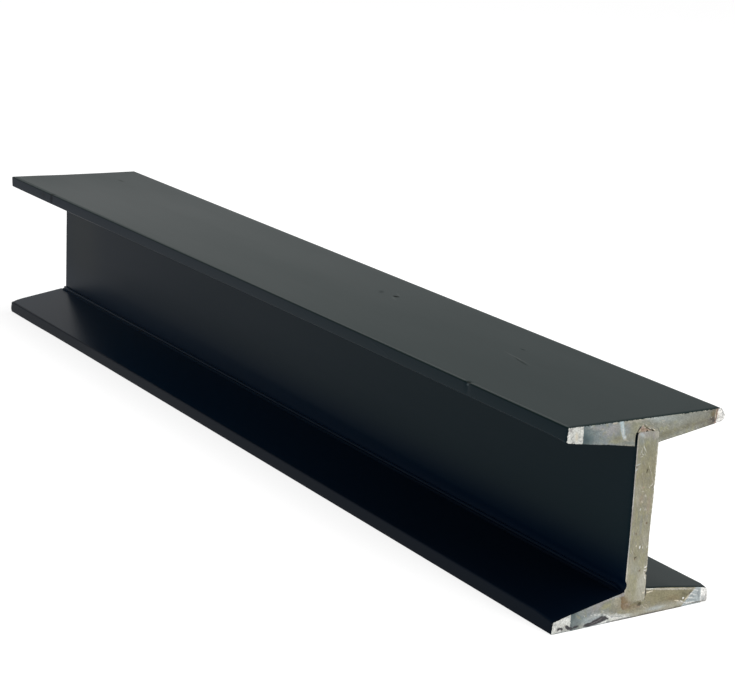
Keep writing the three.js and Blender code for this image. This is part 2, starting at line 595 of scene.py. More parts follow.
# %% Marks on the end of the top flange
# (tint, strength, softness, (across, up), (half width, half height), turn, depth)
TOP_MARKS = [
    # films of old oil and cutting water
    (TEAL_DEEP, 1.0, 0.7, (-37.6, 95.0), (4.6, 3.2), -8, 0),
    (TEAL_DEEP, 0.65, 0.6, (-38.4, 97.7), (2.2, 3.2), 0, 0),
    (TEAL_DARK, 0.9, 0.6, (-38.0, 95.0), (2.1, 2.4), -8, 0),
    (TEAL, 0.68, 0.7, (-34.0, 98.2), (3.6, 2.2), 0, 0),
    (TEAL, 0.45, 0.7, (-29.0, 94.6), (4.2, 1.2), -9.5, 0),
    (VIOLET_GREY, 0.55, 0.7, (-22.6, 97.2), (4.4, 2.2), 20, 0),
    (VIOLET_GREY, 0.4, 0.6, (-30.5, 99.4), (5.0, 1.0), -6, 0),
    (OLIVE, 0.7, 0.6, (-18.5, 92.2), (5.5, 1.6), -9.5, 0),
    (OLIVE_DEEP, 0.35, 0.6, (-18.6, 92.8), (2.2, 1.2), -9.5, 0),
    (MOSS, 0.4, 0.6, (-20.5, 91.4), (3.5, 0.9), -9.5, 0),
    (COOL, 0.55, 0.6, (-13.0, 96.6), (1.6, 3.0), 10, 0),
    (WARM_GREY, 0.6, 0.5, (-12.3, 98.6), (0.9, 1.5), 0, 0),
    (TEAL, 0.4, 0.6, (-10.5, 89.6), (4.0, 0.8), -9.5, 0),
    (MOSS, 0.35, 0.7, (-7.6, 96.6), (2.2, 3.2), 10, 0),
    (PALE, 0.55, 0.6, (-8.0, 100.2), (9.0, 0.6), 0, 0),
    (FROST, 0.4, 0.6, (3.5, 100.2), (5.5, 0.9), -1, 0),
    (FROST, 0.6, 0.7, (10.0, 98.8), (7.0, 1.3), -1, 0),
    (GREEN_GREY, 0.8, 0.7, (23.0, 98.2), (16.0, 2.0), -1, 0),
    (OLIVE_DEEP, 0.45, 0.7, (10.5, 91.2), (4.4, 1.8), 9.5, 0),
    (OLIVE_DEEP, 0.4, 0.7, (21.0, 93.2), (12.0, 1.4), 9.5, 0),
    (BROWN_GREY, 0.45, 0.6, (33.5, 94.6), (6.0, 0.8), 9.5, 0),
    (OLIVE, 0.45, 0.7, (30.0, 97.0), (7.0, 1.5), 0, 0),
    (BROWN_GREY, 0.25, 0.8, (31.0, 96.5), (9.0, 4.5), 0, 0),
    (OLIVE, 0.45, 0.7, (-8.6, 94.6), (2.4, 4.0), 10, 0),
    # the pale streak where a drop ran down
    (HAZE, 0.75, 0.45, (-17.0, 100.4), (1.5, 0.8), 0, 0),
    (HAZE, 0.95, 0.4, (-16.4, 98.4), (1.0, 2.6), 8, 0),
    (FROST, 0.9, 0.4, (-15.7, 95.4), (0.9, 2.4), 12, 0),
    (HAZE, 0.7, 0.45, (-14.9, 96.0), (0.5, 2.2), 10, 0),
    (FROST, 0.9, 0.4, (-14.5, 93.0), (0.85, 1.5), 22, 0),
    (CLEAN, 0.6, 0.5, (-15.7, 96.6), (0.32, 2.8), 11, 0),
    (CLEAN, 0.5, 0.5, (-14.3, 92.6), (0.4, 0.9), 22, 0),
    (PALE, 0.8, 0.4, (-13.9, 91.7), (0.9, 0.6), -20, 0),
    # flecks along the top edge
    (FROST, 0.55, 0.5, (-34.6, 100.6), (0.9, 0.45), 0, 0),
    (TEAL_DEEP, 0.5, 0.6, (-35.6, 99.2), (1.6, 0.35), 20, 0),
    (PALE, 0.6, 0.5, (-28.0, 98.6), (1.0, 0.28), -20, 0),
    (CREAM, 0.6, 0.5, (-21.0, 100.5), (1.3, 0.3), 0, 0),
    (CREAM, 0.45, 0.5, (8.4, 98.2), (1.1, 0.28), -10, 0),
]

# %% [markdown]
# The two tips of the flange are bright, rough steel. A scatter of bright marks could show that, but each
# tip is one area that ends along a line, so a zone paints it whole. The later marks lie over the zones.

# %% Zones and later marks on the top flange
TOP_ZONES = [
    # (tint, strength, point on the boundary, the way it lies, softness, how crinkled it is)
    (BROWN_GREY, 0.75, (38.6, 97.0), (1.0, -0.12), 1.2, 0.3),
    (ROSE, 0.75, (41.2, 97.0), (1.0, -0.1), 0.6, 0.6),
    (BRIGHT, 0.95, (42.5, 97.0), (1.0, -0.16), 0.5, 0.5),
    (CLEAN, 1.0, (-39.3, 97.0), (-1.0, 0.0), 0.25, 1.0),
]
TOP_LATE_MARKS = [
    # the weld's pink peak and the ripples round it
    (PALE, 0.4, 0.5, (-7.3, 97.2), (1.4, 0.24), 50, 0),
    (OLIVE_DEEP, 0.35, 0.5, (-8.0, 96.6), (1.4, 0.24), 55, 0),
    (OLIVE_DEEP, 0.3, 0.5, (-5.0, 98.6), (2.2, 0.24), 12, 0),
    (ROSE, 0.85, 0.4, (-3.8, 96.6), (0.7, 0.9), -8, 0),
    (CREAM, 0.55, 0.5, (-3.8, 97.3), (0.3, 0.4), 0, 0),
    # a near black crack beside the web's head, pressed in a little: painted shade in the gap
    (SOOT_AND_SHADE, 0.85, 0.35, (-5.7, 96.0), (1.2, 0.38), 50, 0.4),
    (OLIVE_DEEP, 0.8, 0.4, (-2.2, 96.5), (1.4, 0.28), -50, 0.2),
    (SCRAPED, 0.55, 0.45, (-1.4, 96.9), (1.3, 0.2), -48, 0),
    (OLIVE_DEEP, 0.45, 0.5, (0.6, 96.6), (1.3, 0.22), -40, 0),
    (SCRAPED, 0.65, 0.45, (3.4, 94.4), (0.9, 0.24), -34, 0),
    # fine dark and pale hatching before the torn tip
    (OLIVE_DEEP, 0.55, 0.5, (37.4, 98.6), (1.7, 0.2), -8, 0.05),
    (OLIVE_DEEP, 0.5, 0.5, (38.2, 97.0), (1.5, 0.2), 24, 0.05),
    (PIT, 0.5, 0.5, (38.8, 95.4), (1.3, 0.2), 30, 0.1),
    (PIT, 0.5, 0.5, (39.2, 94.6), (1.3, 0.18), 30, 0.1),
    (PALE, 0.5, 0.5, (39.6, 98.8), (1.0, 0.18), -6, 0),
    # the torn right tip and the clean left one
    (OLIVE_DEEP, 0.6, 0.5, (39.4, 98.0), (1.3, 1.5), 10, 0.05),
    (PIT, 0.6, 0.6, (39.6, 94.8), (1.2, 1.4), 20, 0.1),
    (BROWN, 0.45, 0.5, (41.5, 98.4), (0.7, 1.3), -10, 0),
    (SMEAR_AND_SHADE, 0.6, 0.6, (40.6, 94.2), (0.9, 0.9), 0, 0.1),
    (BROWN, 0.55, 0.6, (39.8, 97.8), (0.5, 1.6), 0, 0),
    (CREAM, 0.6, 0.5, (41.2, 97.4), (0.22, 2.4), -6, 0),
    (BROWN, 0.6, 0.6, (42.0, 98.0), (0.25, 2.0), -10, 0),
    (OLIVE_DEEP, 0.55, 0.5, (38.6, 97.6), (0.35, 1.4), 20, 0.1),
    (PIT, 0.5, 0.5, (38.3, 95.6), (0.5, 0.35), -30, 0.1),
    (SCRAPED, 0.55, 0.5, (39.0, 96.0), (0.5, 0.2), 30, 0),
    (SCRAPED, 0.5, 0.5, (38.9, 94.2), (0.5, 0.2), 30, 0),
    (CREAM, 0.6, 0.6, (43.2, 96.4), (0.5, 1.8), 0, 0),
    (BROWN_GREY, 0.55, 0.6, (42.6, 95.0), (0.8, 0.3), -20, 0.1),
    (COOL, 0.45, 0.6, (46.4, 97.0), (0.5, 1.3), 0, 0.15),
    (VIOLET_GREY, 0.5, 0.6, (45.4, 95.2), (1.2, 0.25), -14, 0.1),
    (VIOLET_GREY, 0.6, 0.6, (-46.8, 99.9), (1.3, 0.6), -30, 0.1),
    (COOL, 0.6, 0.6, (-47.4, 98.4), (0.8, 0.25), 30, 0.1),
    (VIOLET_GREY, 0.55, 0.6, (-45.6, 100.6), (0.9, 0.3), 20, 0.1),
    (CREAM, 0.7, 0.6, (-43.0, 96.6), (0.8, 2.2), 8, 0),
    (OLIVE, 0.45, 0.6, (-41.6, 97.0), (0.25, 1.8), 14, 0.1),
    (COOL, 0.45, 0.6, (-45.4, 96.8), (1.6, 0.22), 40, 0.1),
    (COOL, 0.45, 0.6, (-40.9, 94.4), (1.0, 0.25), -30, 0.1),
    (BRIGHT, 0.6, 0.6, (-47.2, 97.6), (0.5, 1.0), 0, 0),
]

# %% [markdown]
# The bottom flange has stood on its lower edge. Its films lie near the root, a washed band runs along the
# lower left, and the weld has left its heat beside the groove.

# %% Marks on the end of the bottom flange
BOTTOM_MARKS = [
    # films
    (TEAL_DEEP, 0.75, 0.6, (-37.4, 6.4), (2.6, 4.0), 0, 0),
    (SLATE, 0.8, 0.6, (-34.0, 3.6), (3.6, 3.2), 0, 0),
    (TEAL_DEEP, 0.35, 0.6, (-36.0, 7.2), (1.8, 1.8), 9.5, 0),
    (GREEN_GREY, 0.55, 0.6, (-30.5, 8.0), (4.2, 1.7), 9.5, 0),
    (TEAL, 0.45, 0.6, (-33.0, 7.0), (2.6, 0.5), -40, 0),
    (MOSS, 0.35, 0.6, (-33.4, 6.2), (2.2, 0.5), -40, 0),
    (VIOLET_GREY, 0.55, 0.7, (-23.0, 9.0), (4.0, 1.7), 9.5, 0),
    (MOSS, 0.65, 0.6, (-17.2, 8.8), (3.2, 1.2), 9.5, 0),
    (DRAB, 0.35, 0.7, (-10.5, 8.0), (3.5, 2.6), 0, 0),
    (OLIVE_WARM, 0.9, 0.7, (20.0, 8.0), (14.0, 3.2), -9.5, 0),
    (OLIVE_DEEP, 0.3, 0.6, (29.0, 8.2), (3.0, 1.6), -9.5, 0),
    (OLIVE_DEEP, 0.4, 0.6, (33.0, 6.8), (4.0, 1.8), -9.5, 0),
    (BROWN, 0.35, 0.7, (25.5, 5.6), (4.5, 1.6), -10, 0),
    (PALE, 0.9, 0.7, (15.5, 1.3), (13.0, 2.5), 0, 0),
    (CLEAN, 0.85, 0.6, (-3.2, 1.4), (3.6, 1.2), 0, 0),
    (PALE, 0.8, 0.6, (0.5, 1.4), (3.0, 1.1), 0, 0),
    (FROST, 0.55, 0.7, (14.0, 2.4), (5.0, 1.0), 0, 0),
    # washed band along the lower left, with a pale broken rim
    (SCRAPED, 0.5, 0.25, (-21.5, -0.9), (10.8, 6.9), 0, 0),
    (FROST, 0.7, 0.3, (-21.8, -1.0), (8.9, 6.4), 0, 0),
    (CLEAN, 0.9, 0.35, (-9.6, 1.4), (7.6, 2.1), -10, 0),
    (BRIGHT, 0.45, 0.45, (-8.0, 1.5), (5.2, 0.6), -7, 0),
    (BRIGHT, 0.55, 0.45, (-13.2, 2.7), (2.2, 0.45), -22, 0),
    (HAZE, 0.4, 0.6, (-28.5, 3.4), (3.0, 1.6), -20, 0),
    (COOL, 0.6, 0.6, (-26.0, 3.4), (3.2, 0.9), 10, 0),
    (COOL, 0.55, 0.6, (-21.0, 4.0), (2.6, 0.5), 10, 0),
    (CLEAN, 0.75, 0.45, (-10.3, 3.5), (0.6, 0.8), 15, 0),
    (COOL, 0.6, 0.5, (-12.8, 2.8), (0.9, 0.45), -20, 0),
    (COOL, 0.7, 0.5, (-8.6, 2.2), (2.6, 0.22), -10, 0),
    (COOL, 0.6, 0.5, (-5.6, 0.9), (2.4, 0.2), -4, 0),
    (BRIGHT, 0.6, 0.5, (-20.8, 5.3), (0.9, 0.26), -20, 0),
    (BRIGHT, 0.6, 0.5, (-23.4, 5.6), (0.9, 0.24), -30, 0),
    (BRIGHT, 0.55, 0.5, (-25.8, 5.8), (0.6, 0.24), -40, 0),
    (BRIGHT, 0.6, 0.5, (-17.6, 4.7), (0.8, 0.26), -26, 0),
    (BRIGHT, 0.6, 0.5, (-15.6, 3.7), (0.8, 0.26), -30, 0),
    (BRIGHT, 0.5, 0.5, (-29.8, 6.0), (0.4, 0.3), 0, 0),
    (COOL, 0.6, 0.5, (-22.2, 4.6), (1.2, 0.2), -24, 0),
    (COOL, 0.55, 0.5, (-19.0, 4.9), (0.8, 0.18), -30, 0),
    # pale rims along the upper edges
    (SCRAPED, 0.6, 0.4, (22.0, 10.9), (16.0, 0.4), -9.5, 0),
    (VIOLET_GREY, 0.75, 0.45, (-17.0, 11.6), (9.0, 0.42), 9.5, 0),
    (FROST, 0.75, 0.4, (-11.0, 12.9), (2.6, 0.3), 9.5, 0),
    (CREAM, 0.85, 0.4, (-11.2, 11.7), (0.5, 0.5), 0, 0),
    (VIOLET_GREY, 0.8, 0.5, (-8.6, 12.9), (1.9, 1.0), 9.5, 0),
    # the weld's heat beside the lower fill
    (SCRAPED, 0.3, 0.6, (-9.8, 9.8), (2.2, 2.4), 9.5, 0),
    (SAND, 0.8, 0.6, (-9.6, 10.2), (2.2, 1.8), 9.5, 0),
    (TAN, 0.8, 0.5, (-8.8, 8.6), (1.3, 3.2), -8, 0),
    (TAN, 0.7, 0.6, (-2.0, 3.4), (5.5, 0.8), -8, 0),
    (BROWN, 0.45, 0.6, (-8.0, 11.2), (1.3, 0.5), -40, 0.1),
    # burrs beside the root of the web
    (CLEAN, 0.8, 0.4, (9.4, 13.1), (2.6, 0.36), -7, -0.12),
    (CREAM, 0.9, 0.4, (9.1, 11.6), (2.1, 0.42), 5, -0.12),
    # painted shadow: a near black seam where the web's foot stands in its groove, pressed in a little
    (SOOT_AND_SHADE, 0.85, 0.35, (6.95, 11.9), (0.22, 2.0), 0, 0.4),
    (BROWN_GREY, 0.6, 0.5, (8.6, 12.3), (1.8, 0.25), 0, 0.1),
    # dark flecks beside the scrape
    (OLIVE_DEEP, 0.55, 0.6, (31.6, 5.8), (2.3, 1.8), -20, 0),
    (OLIVE_DEEP, 0.9, 0.5, (31.4, 6.9), (0.8, 0.5), -28, 0.15),
    (OLIVE_DEEP, 0.85, 0.5, (33.2, 6.1), (0.6, 0.5), 20, 0.12),
    (SMEAR_AND_SHADE, 0.55, 0.5, (35.8, 6.5), (0.8, 0.5), 30, 0.12),
    (OLIVE_DEEP, 0.9, 0.5, (31.4, 4.2), (1.4, 1.1), 0, 0.12),
    (OLIVE_DEEP, 0.6, 0.5, (33.0, 3.8), (0.8, 0.5), 40, 0.12),
]

# %% [markdown]
# The lower right was scraped bare, in strokes that fan out. Black paint ran under the lower left edge and
# was smeared there. Both lie over the films, so they are painted last.

# %% Zones and later marks on the bottom flange
BOTTOM_ZONES = [
    (FROST, 0.95, (32.6, 2.2), (0.7, -0.71), 0.6, 0.25),
    (BRIGHT, 1.0, (42.9, 4.0), (1.0, 0.0), 0.7, 0.4),
    (CLEAN, 1.0, (-38.1, 4.0), (-1.0, 0.0), 0.25, 0.7),
]
BOTTOM_LATE_MARKS = [
    # the scrape that fans out on the lower right
    (CREAM, 0.9, 0.45, (33.9, 4.2), (1.7, 0.42), 45, -0.1),
    (BRIGHT, 0.7, 0.5, (36.4, 6.0), (1.8, 0.25), 40, 0),
    (PALE, 0.6, 0.5, (38.4, 8.0), (1.0, 0.5), 20, 0),
    (BRIGHT, 0.8, 0.5, (36.6, 3.8), (2.2, 0.26), -14, 0),
    (COOL, 0.7, 0.5, (35.4, 2.8), (2.2, 0.28), -12, 0),
    (BRIGHT, 0.7, 0.5, (38.6, 5.2), (2.2, 0.22), -20, 0),
    (COOL, 0.55, 0.5, (38.0, 4.4), (2.0, 0.22), -20, 0),
    (BRIGHT, 0.85, 0.5, (36.4, 1.3), (2.2, 0.4), 2, 0),
    (COOL, 0.65, 0.5, (38.0, 2.3), (2.8, 0.26), -8, 0),
    (BRIGHT, 0.65, 0.5, (39.6, 7.2), (1.8, 0.24), -20, 0),
    (COOL, 0.7, 0.6, (41.6, 4.6), (0.8, 2.8), 4, 0),
    (COOL, 0.55, 0.6, (37.6, 6.2), (1.4, 0.24), -10, 0),
    (BRIGHT, 0.95, 0.35, (31.5, 4.4), (0.62, 0.55), -20, -0.15),
    (CREAM, 0.95, 0.4, (27.6, 3.8), (1.5, 0.34), -14, -0.1),
    (BRIGHT, 0.85, 0.4, (30.8, 2.8), (1.1, 0.34), -26, -0.1),
    (BRIGHT, 0.7, 0.45, (33.4, 1.7), (1.8, 0.28), -14, 0),
    (PALE, 0.7, 0.5, (29.6, 1.7), (1.5, 0.35), -15, 0),
    (SCRAPED, 0.45, 0.6, (30.0, 2.4), (2.4, 0.9), -10, 0),
    # black paint that ran under the edge and was smeared
    (WARM_GREY, 0.5, 0.6, (-42.6, 1.7), (2.2, 1.3), 0, 0),
    (SMEAR_AND_SHADE, 1.0, 0.25, (-44.1, 2.0), (1.8, 0.95), 0, -0.08),
    (BRIGHT, 0.9, 0.35, (-44.4, 1.15), (1.0, 0.55), 0, 0),
    (SMEAR_AND_SHADE, 1.0, 0.25, (-39.6, 2.1), (1.9, 0.85), -36, -0.08),
    (SMEAR_AND_SHADE, 1.0, 0.25, (-37.8, 1.3), (1.5, 0.72), -18, -0.08),
    (SMEAR_AND_SHADE, 0.95, 0.25, (-34.8, 1.6), (1.9, 0.58), 6, -0.08),
    (SMEAR_AND_SHADE, 0.6, 0.4, (-37.3, 2.5), (0.9, 0.16), -20, -0.05),
    (SMEAR_AND_SHADE, 1.0, 0.22, (-26.8, 1.3), (3.2, 1.05), 2, -0.1),
    (SMEAR_AND_SHADE, 1.0, 0.22, (-22.8, 2.0), (3.2, 1.45), 10, -0.1),
    (SMEAR_AND_SHADE, 1.0, 0.22, (-19.6, 2.7), (2.4, 1.55), 12, -0.1),
    (SMEAR_AND_SHADE, 1.0, 0.22, (-17.6, 2.8), (1.5, 1.1), -14, -0.1),
    (SMEAR_AND_SHADE, 0.95, 0.3, (-15.8, 2.3), (0.9, 0.42), -20, -0.08),
    (VIOLET_GREY, 0.45, 0.6, (-23.0, 1.9), (3.0, 0.18), 10, 0),
    (VIOLET_GREY, 0.4, 0.6, (-20.0, 3.0), (1.6, 0.2), 14, 0),
    (BRIGHT, 0.8, 0.4, (-18.0, 0.9), (2.2, 0.45), 4, 0),
    # painted shade: a dark line along the lower arris, then tints on the right tip
    (SMEAR_AND_SHADE, 0.75, 0.4, (-7.0, 0.4), (10.5, 0.3), 0, 0),
    (SMEAR_AND_SHADE, 0.75, 0.4, (11.0, 0.42), (9.0, 0.34), 0, 0),
    (SMEAR_AND_SHADE, 0.6, 0.5, (26.0, 0.36), (6.0, 0.28), 0, 0),
    (BROWN_GREY, 0.75, 0.5, (40.5, 0.7), (6.5, 0.36), 0, 0),
    (COOL, 0.75, 0.5, (-43.0, 0.45), (5.5, 0.3), 0, 0),
    (VIOLET_GREY, 0.6, 0.5, (46.4, 2.4), (0.5, 2.4), 0, 0),
    (COOL, 0.55, 0.6, (44.6, 2.0), (1.5, 1.4), 0, 0),
    # little rusty specks on the bright tip
    (BROWN, 0.55, 0.6, (-43.6, 3.9), (0.55, 0.28), 20, 0.1),
    (BROWN, 0.5, 0.6, (-42.2, 4.2), (0.4, 0.25), 0, 0.1),
    (BROWN, 0.45, 0.6, (-41.3, 3.4), (0.4, 0.25), 0, 0.1),
    (COOL, 0.55, 0.6, (-46.4, 4.6), (0.6, 0.5), 30, 0.1),
    (BRIGHT, 0.4, 0.6, (-43.0, 5.8), (3.6, 2.4), 9.5, 0),
    (COOL, 0.45, 0.6, (-39.6, 7.4), (1.2, 0.5), 9.5, 0.1),
    (BRIGHT, 0.75, 0.6, (-47.2, 2.6), (0.6, 0.9), 0, 0),
]

# %% [markdown]
# The web is a rolled plate that was sawn on its own, so its marks run up and down: a burr along one edge,
# pits and bright dots, and curved scratches below the head.

# %% Marks on the end of the web
WEB_MARKS = [
    # a burr down the left edge, and films
    (VIOLET_GREY, 0.65, 0.5, (-5.9, 60.0), (0.5, 34.0), 0, 0),
    (CLEAN, 0.55, 0.5, (-5.95, 61.0), (0.34, 7.0), 0, 0),
    (SCRAPED, 0.55, 0.5, (-5.9, 27.0), (0.36, 9.0), 0, 0),
    (FROST, 0.45, 0.5, (-5.9, 37.0), (0.34, 4.0), 0, 0),
    (VIOLET_GREY, 0.55, 0.6, (-1.5, 92.6), (5.5, 1.5), 0, 0),
    (VIOLET_GREY, 0.65, 0.6, (-3.6, 93.6), (3.2, 0.7), 0, 0),
    (FROST, 0.65, 0.5, (-3.6, 92.5), (1.9, 0.8), -28, 0),
    (PALE, 0.6, 0.5, (-2.0, 91.6), (1.2, 0.5), -28, 0),
    (COOL, 0.55, 0.5, (-4.6, 91.4), (0.7, 0.4), -30, 0),
    (COOL, 0.45, 0.7, (-3.6, 89.6), (1.6, 1.6), 0, 0),
    (VIOLET_GREY, 0.6, 0.6, (4.2, 91.6), (1.5, 2.2), 0, 0),
    (PALE, 0.65, 0.6, (5.2, 92.2), (1.3, 1.8), 30, 0),
    (DRAB, 0.45, 0.7, (2.2, 77.0), (3.8, 7.0), 0, 0),
    (MOSS, 0.45, 0.6, (-3.0, 53.0), (0.7, 4.0), 4, 0),
    (OLIVE, 0.55, 0.6, (-1.9, 52.0), (0.6, 5.0), 0, 0),
    (COOL, 0.3, 0.6, (0.2, 47.5), (0.9, 4.0), 0, 0),
    (ROSE, 0.3, 0.7, (4.0, 57.0), (1.2, 4.0), 0, 0),
    (ROSE, 0.3, 0.7, (-1.0, 60.6), (1.2, 2.2), 0, 0),
    (TAN, 0.35, 0.7, (-2.4, 68.0), (1.8, 3.0), 0, 0),
    (PALE, 0.35, 0.7, (-3.4, 64.0), (1.6, 5.5), 0, 0),
    (DRAB, 0.45, 0.6, (-1.8, 30.0), (2.4, 2.4), 0, 0),
    (DRAB, 0.35, 0.6, (1.6, 34.4), (2.4, 1.0), 0, 0),
    (GREEN_GREY, 0.35, 0.7, (-1.0, 25.0), (2.4, 3.0), 0, 0),
    (MOSS, 0.3, 0.7, (1.6, 14.5), (2.4, 3.0), -30, 0),
    (PALE, 0.95, 0.7, (4.0, 17.4), (2.6, 5.8), 0, 0),
    (CLEAN, 0.2, 0.7, (3.4, 16.0), (2.2, 4.6), 0, 0),
    (PALE, 0.4, 0.7, (-3.4, 27.0), (2.2, 4.0), 0, 0),
    (PALE, 0.4, 0.7, (3.6, 39.0), (1.6, 4.0), 0, 0),
    (PALE, 0.35, 0.7, (-4.4, 77.5), (1.6, 2.6), 0, 0),
    (DRAB, 0.35, 0.7, (3.0, 86.0), (2.8, 3.0), 0, 0),
    (PALE, 0.55, 0.7, (3.2, 12.0), (2.8, 3.6), 0, 0),
    # curved scratches below the head
    (CLEAN, 0.6, 0.45, (-1.7, 86.0), (0.2, 1.8), 22, 0),
    (CLEAN, 0.5, 0.45, (-0.9, 84.9), (0.2, 1.7), 30, 0),
    (CLEAN, 0.55, 0.45, (-3.2, 84.2), (0.22, 1.0), 34, 0),
    (CLEAN, 0.55, 0.45, (-2.2, 82.9), (0.8, 0.22), -24, 0),
    (CLEAN, 0.5, 0.45, (-1.3, 83.3), (0.2, 1.3), 34, 0),
    (SCRAPED, 0.55, 0.45, (-3.0, 85.4), (0.2, 1.2), 20, 0),
    (BROWN_GREY, 0.4, 0.5, (-1.8, 83.6), (0.18, 1.2), 34, 0.05),
    (SCRAPED, 0.5, 0.45, (-2.8, 82.0), (0.8, 0.22), 8, 0),
    (SCRAPED, 0.5, 0.45, (-4.0, 83.2), (0.22, 1.0), 0, 0),
    (BROWN_GREY, 0.55, 0.5, (-2.4, 85.0), (0.2, 1.4), 26, 0.05),
    (BROWN_GREY, 0.45, 0.5, (-3.7, 82.6), (0.5, 0.2), -30, 0.05),
    (SCRAPED, 0.4, 0.5, (2.9, 75.0), (0.18, 3.4), 26, 0),
    (SCRAPED, 0.4, 0.5, (4.4, 71.0), (0.18, 2.8), 24, 0),
    (OLIVE_DEEP, 0.45, 0.5, (3.6, 72.6), (0.18, 3.0), 26, 0),
    (OLIVE_DEEP, 0.35, 0.5, (-3.5, 66.5), (0.2, 4.0), 14, 0),
    (OLIVE_DEEP, 0.3, 0.5, (-1.2, 69.0), (0.2, 4.0), 18, 0),
    # nicks in the edges
    (FROST, 0.65, 0.4, (-4.6, 78.2), (1.2, 0.26), 14, 0),
    (BROWN_GREY, 0.65, 0.4, (-5.4, 77.0), (0.8, 0.35), 0, 0.3),
    (FROST, 0.6, 0.4, (-5.6, 75.6), (0.7, 0.3), 0, 0),
    (SCRAPED, 0.8, 0.4, (4.6, 66.7), (1.2, 0.24), 28, -0.1),
    (SCRAPED, 0.6, 0.4, (3.6, 65.6), (0.5, 0.3), -40, 0),
    (BROWN_GREY, 0.45, 0.4, (5.6, 65.6), (0.8, 0.3), 10, 0.2),
    (BRIGHT, 0.8, 0.4, (5.4, 25.0), (0.9, 0.3), 20, -0.12),
    (BRIGHT, 0.75, 0.4, (5.3, 23.6), (0.9, 0.26), 0, -0.12),
    (SCRAPED, 0.65, 0.4, (4.9, 21.6), (0.3, 1.6), 24, 0),
    # a near black notch in the right edge, pressed in a little: painted shade in the notch
    (SOOT_AND_SHADE, 0.8, 0.35, (6.3, 21.8), (0.5, 0.6), 0, 0.4),
    (BRIGHT, 0.6, 0.45, (5.6, 19.8), (0.35, 1.0), 16, 0),
    # pits and bright dots
    (PIT, 0.75, 0.4, (1.3, 74.3), (0.26, 1.0), -6, 0.35),
    (PIT, 0.45, 0.5, (1.5, 75.8), (0.22, 0.5), 0, 0.1),
    (SCRAPED, 0.65, 0.4, (1.3, 61.8), (0.26, 0.8), 0, 0),
    (SCRAPED, 0.45, 0.4, (-0.5, 64.4), (0.5, 0.3), 0, 0),
    (ROSE, 0.6, 0.5, (-0.4, 66.2), (0.9, 0.4), 10, 0),
    (CREAM, 0.6, 0.4, (-0.3, 59.0), (0.36, 0.6), 10, 0),
    (CLEAN, 0.7, 0.4, (-0.9, 55.2), (0.33, 0.55), 0, 0),
    (BROWN, 0.75, 0.4, (3.7, 47.7), (0.45, 0.5), 0, 0.3),
    (BROWN_GREY, 0.4, 0.5, (1.0, 48.6), (0.9, 0.25), 0, 0.1),
    (BROWN, 0.55, 0.45, (-2.3, 43.2), (0.35, 0.5), 0, 0.2),
    (CREAM, 0.65, 0.45, (-1.5, 36.9), (0.45, 0.4), 10, 0),
    (CLEAN, 0.95, 0.35, (0.7, 35.9), (0.42, 0.75), 0, 0),
    (CLEAN, 0.7, 0.4, (2.5, 35.5), (0.2, 0.6), 8, 0),
    (BROWN, 0.7, 0.4, (1.7, 35.8), (0.2, 0.6), 0, 0.1),
    (BROWN, 0.6, 0.4, (-0.2, 35.7), (0.2, 0.6), 0, 0.1),
    (BROWN, 0.5, 0.4, (4.2, 36.0), (0.22, 0.5), 0, 0.1),
    (CLEAN, 0.7, 0.4, (5.2, 35.6), (0.26, 0.6), 0, 0),
    (PIT, 0.85, 0.35, (-1.4, 30.9), (0.75, 0.35), 20, 0.4),
    (BROWN, 0.8, 0.4, (-1.8, 30.2), (0.3, 0.6), 10, 0.2),
    (BROWN, 0.5, 0.4, (-1.9, 32.9), (0.25, 0.6), 10, 0.1),
    (BROWN, 0.75, 0.4, (1.9, 23.7), (0.45, 0.5), 20, 0.3),
    (OLIVE_DEEP, 0.5, 0.5, (-3.6, 14.0), (0.5, 0.4), 0, 0.1),
    (BROWN, 0.45, 0.5, (-4.4, 12.0), (0.7, 0.4), -50, 0.1),
    (CREAM, 0.85, 0.45, (5.4, 11.8), (0.6, 0.55), 0, -0.1),
    # the fill's heat on the foot of the plate
    (TAN, 0.8, 0.6, (-5.0, 11.5), (1.8, 2.0), -40, 0),
    (BROWN, 0.65, 0.5, (-5.9, 9.4), (2.4, 2.0), -30, 0),
    (BROWN, 0.6, 0.6, (-6.4, 10.2), (0.8, 2.4), 0, 0),
    (BROWN, 0.5, 0.6, (-3.0, 8.2), (3.4, 0.9), -14, 0),
    (PALE, 0.6, 0.5, (3.0, 8.8), (2.6, 0.35), -8, 0),
]

# %% [markdown]
# Weld metal is rusty and rosy, and small holes stand between it and the plate. The holes are pressed in a
# little and painted near black, which is painted shade in them. Each table is then stored under the name of
# its imported solid, where both the finish and the modelling look it up.

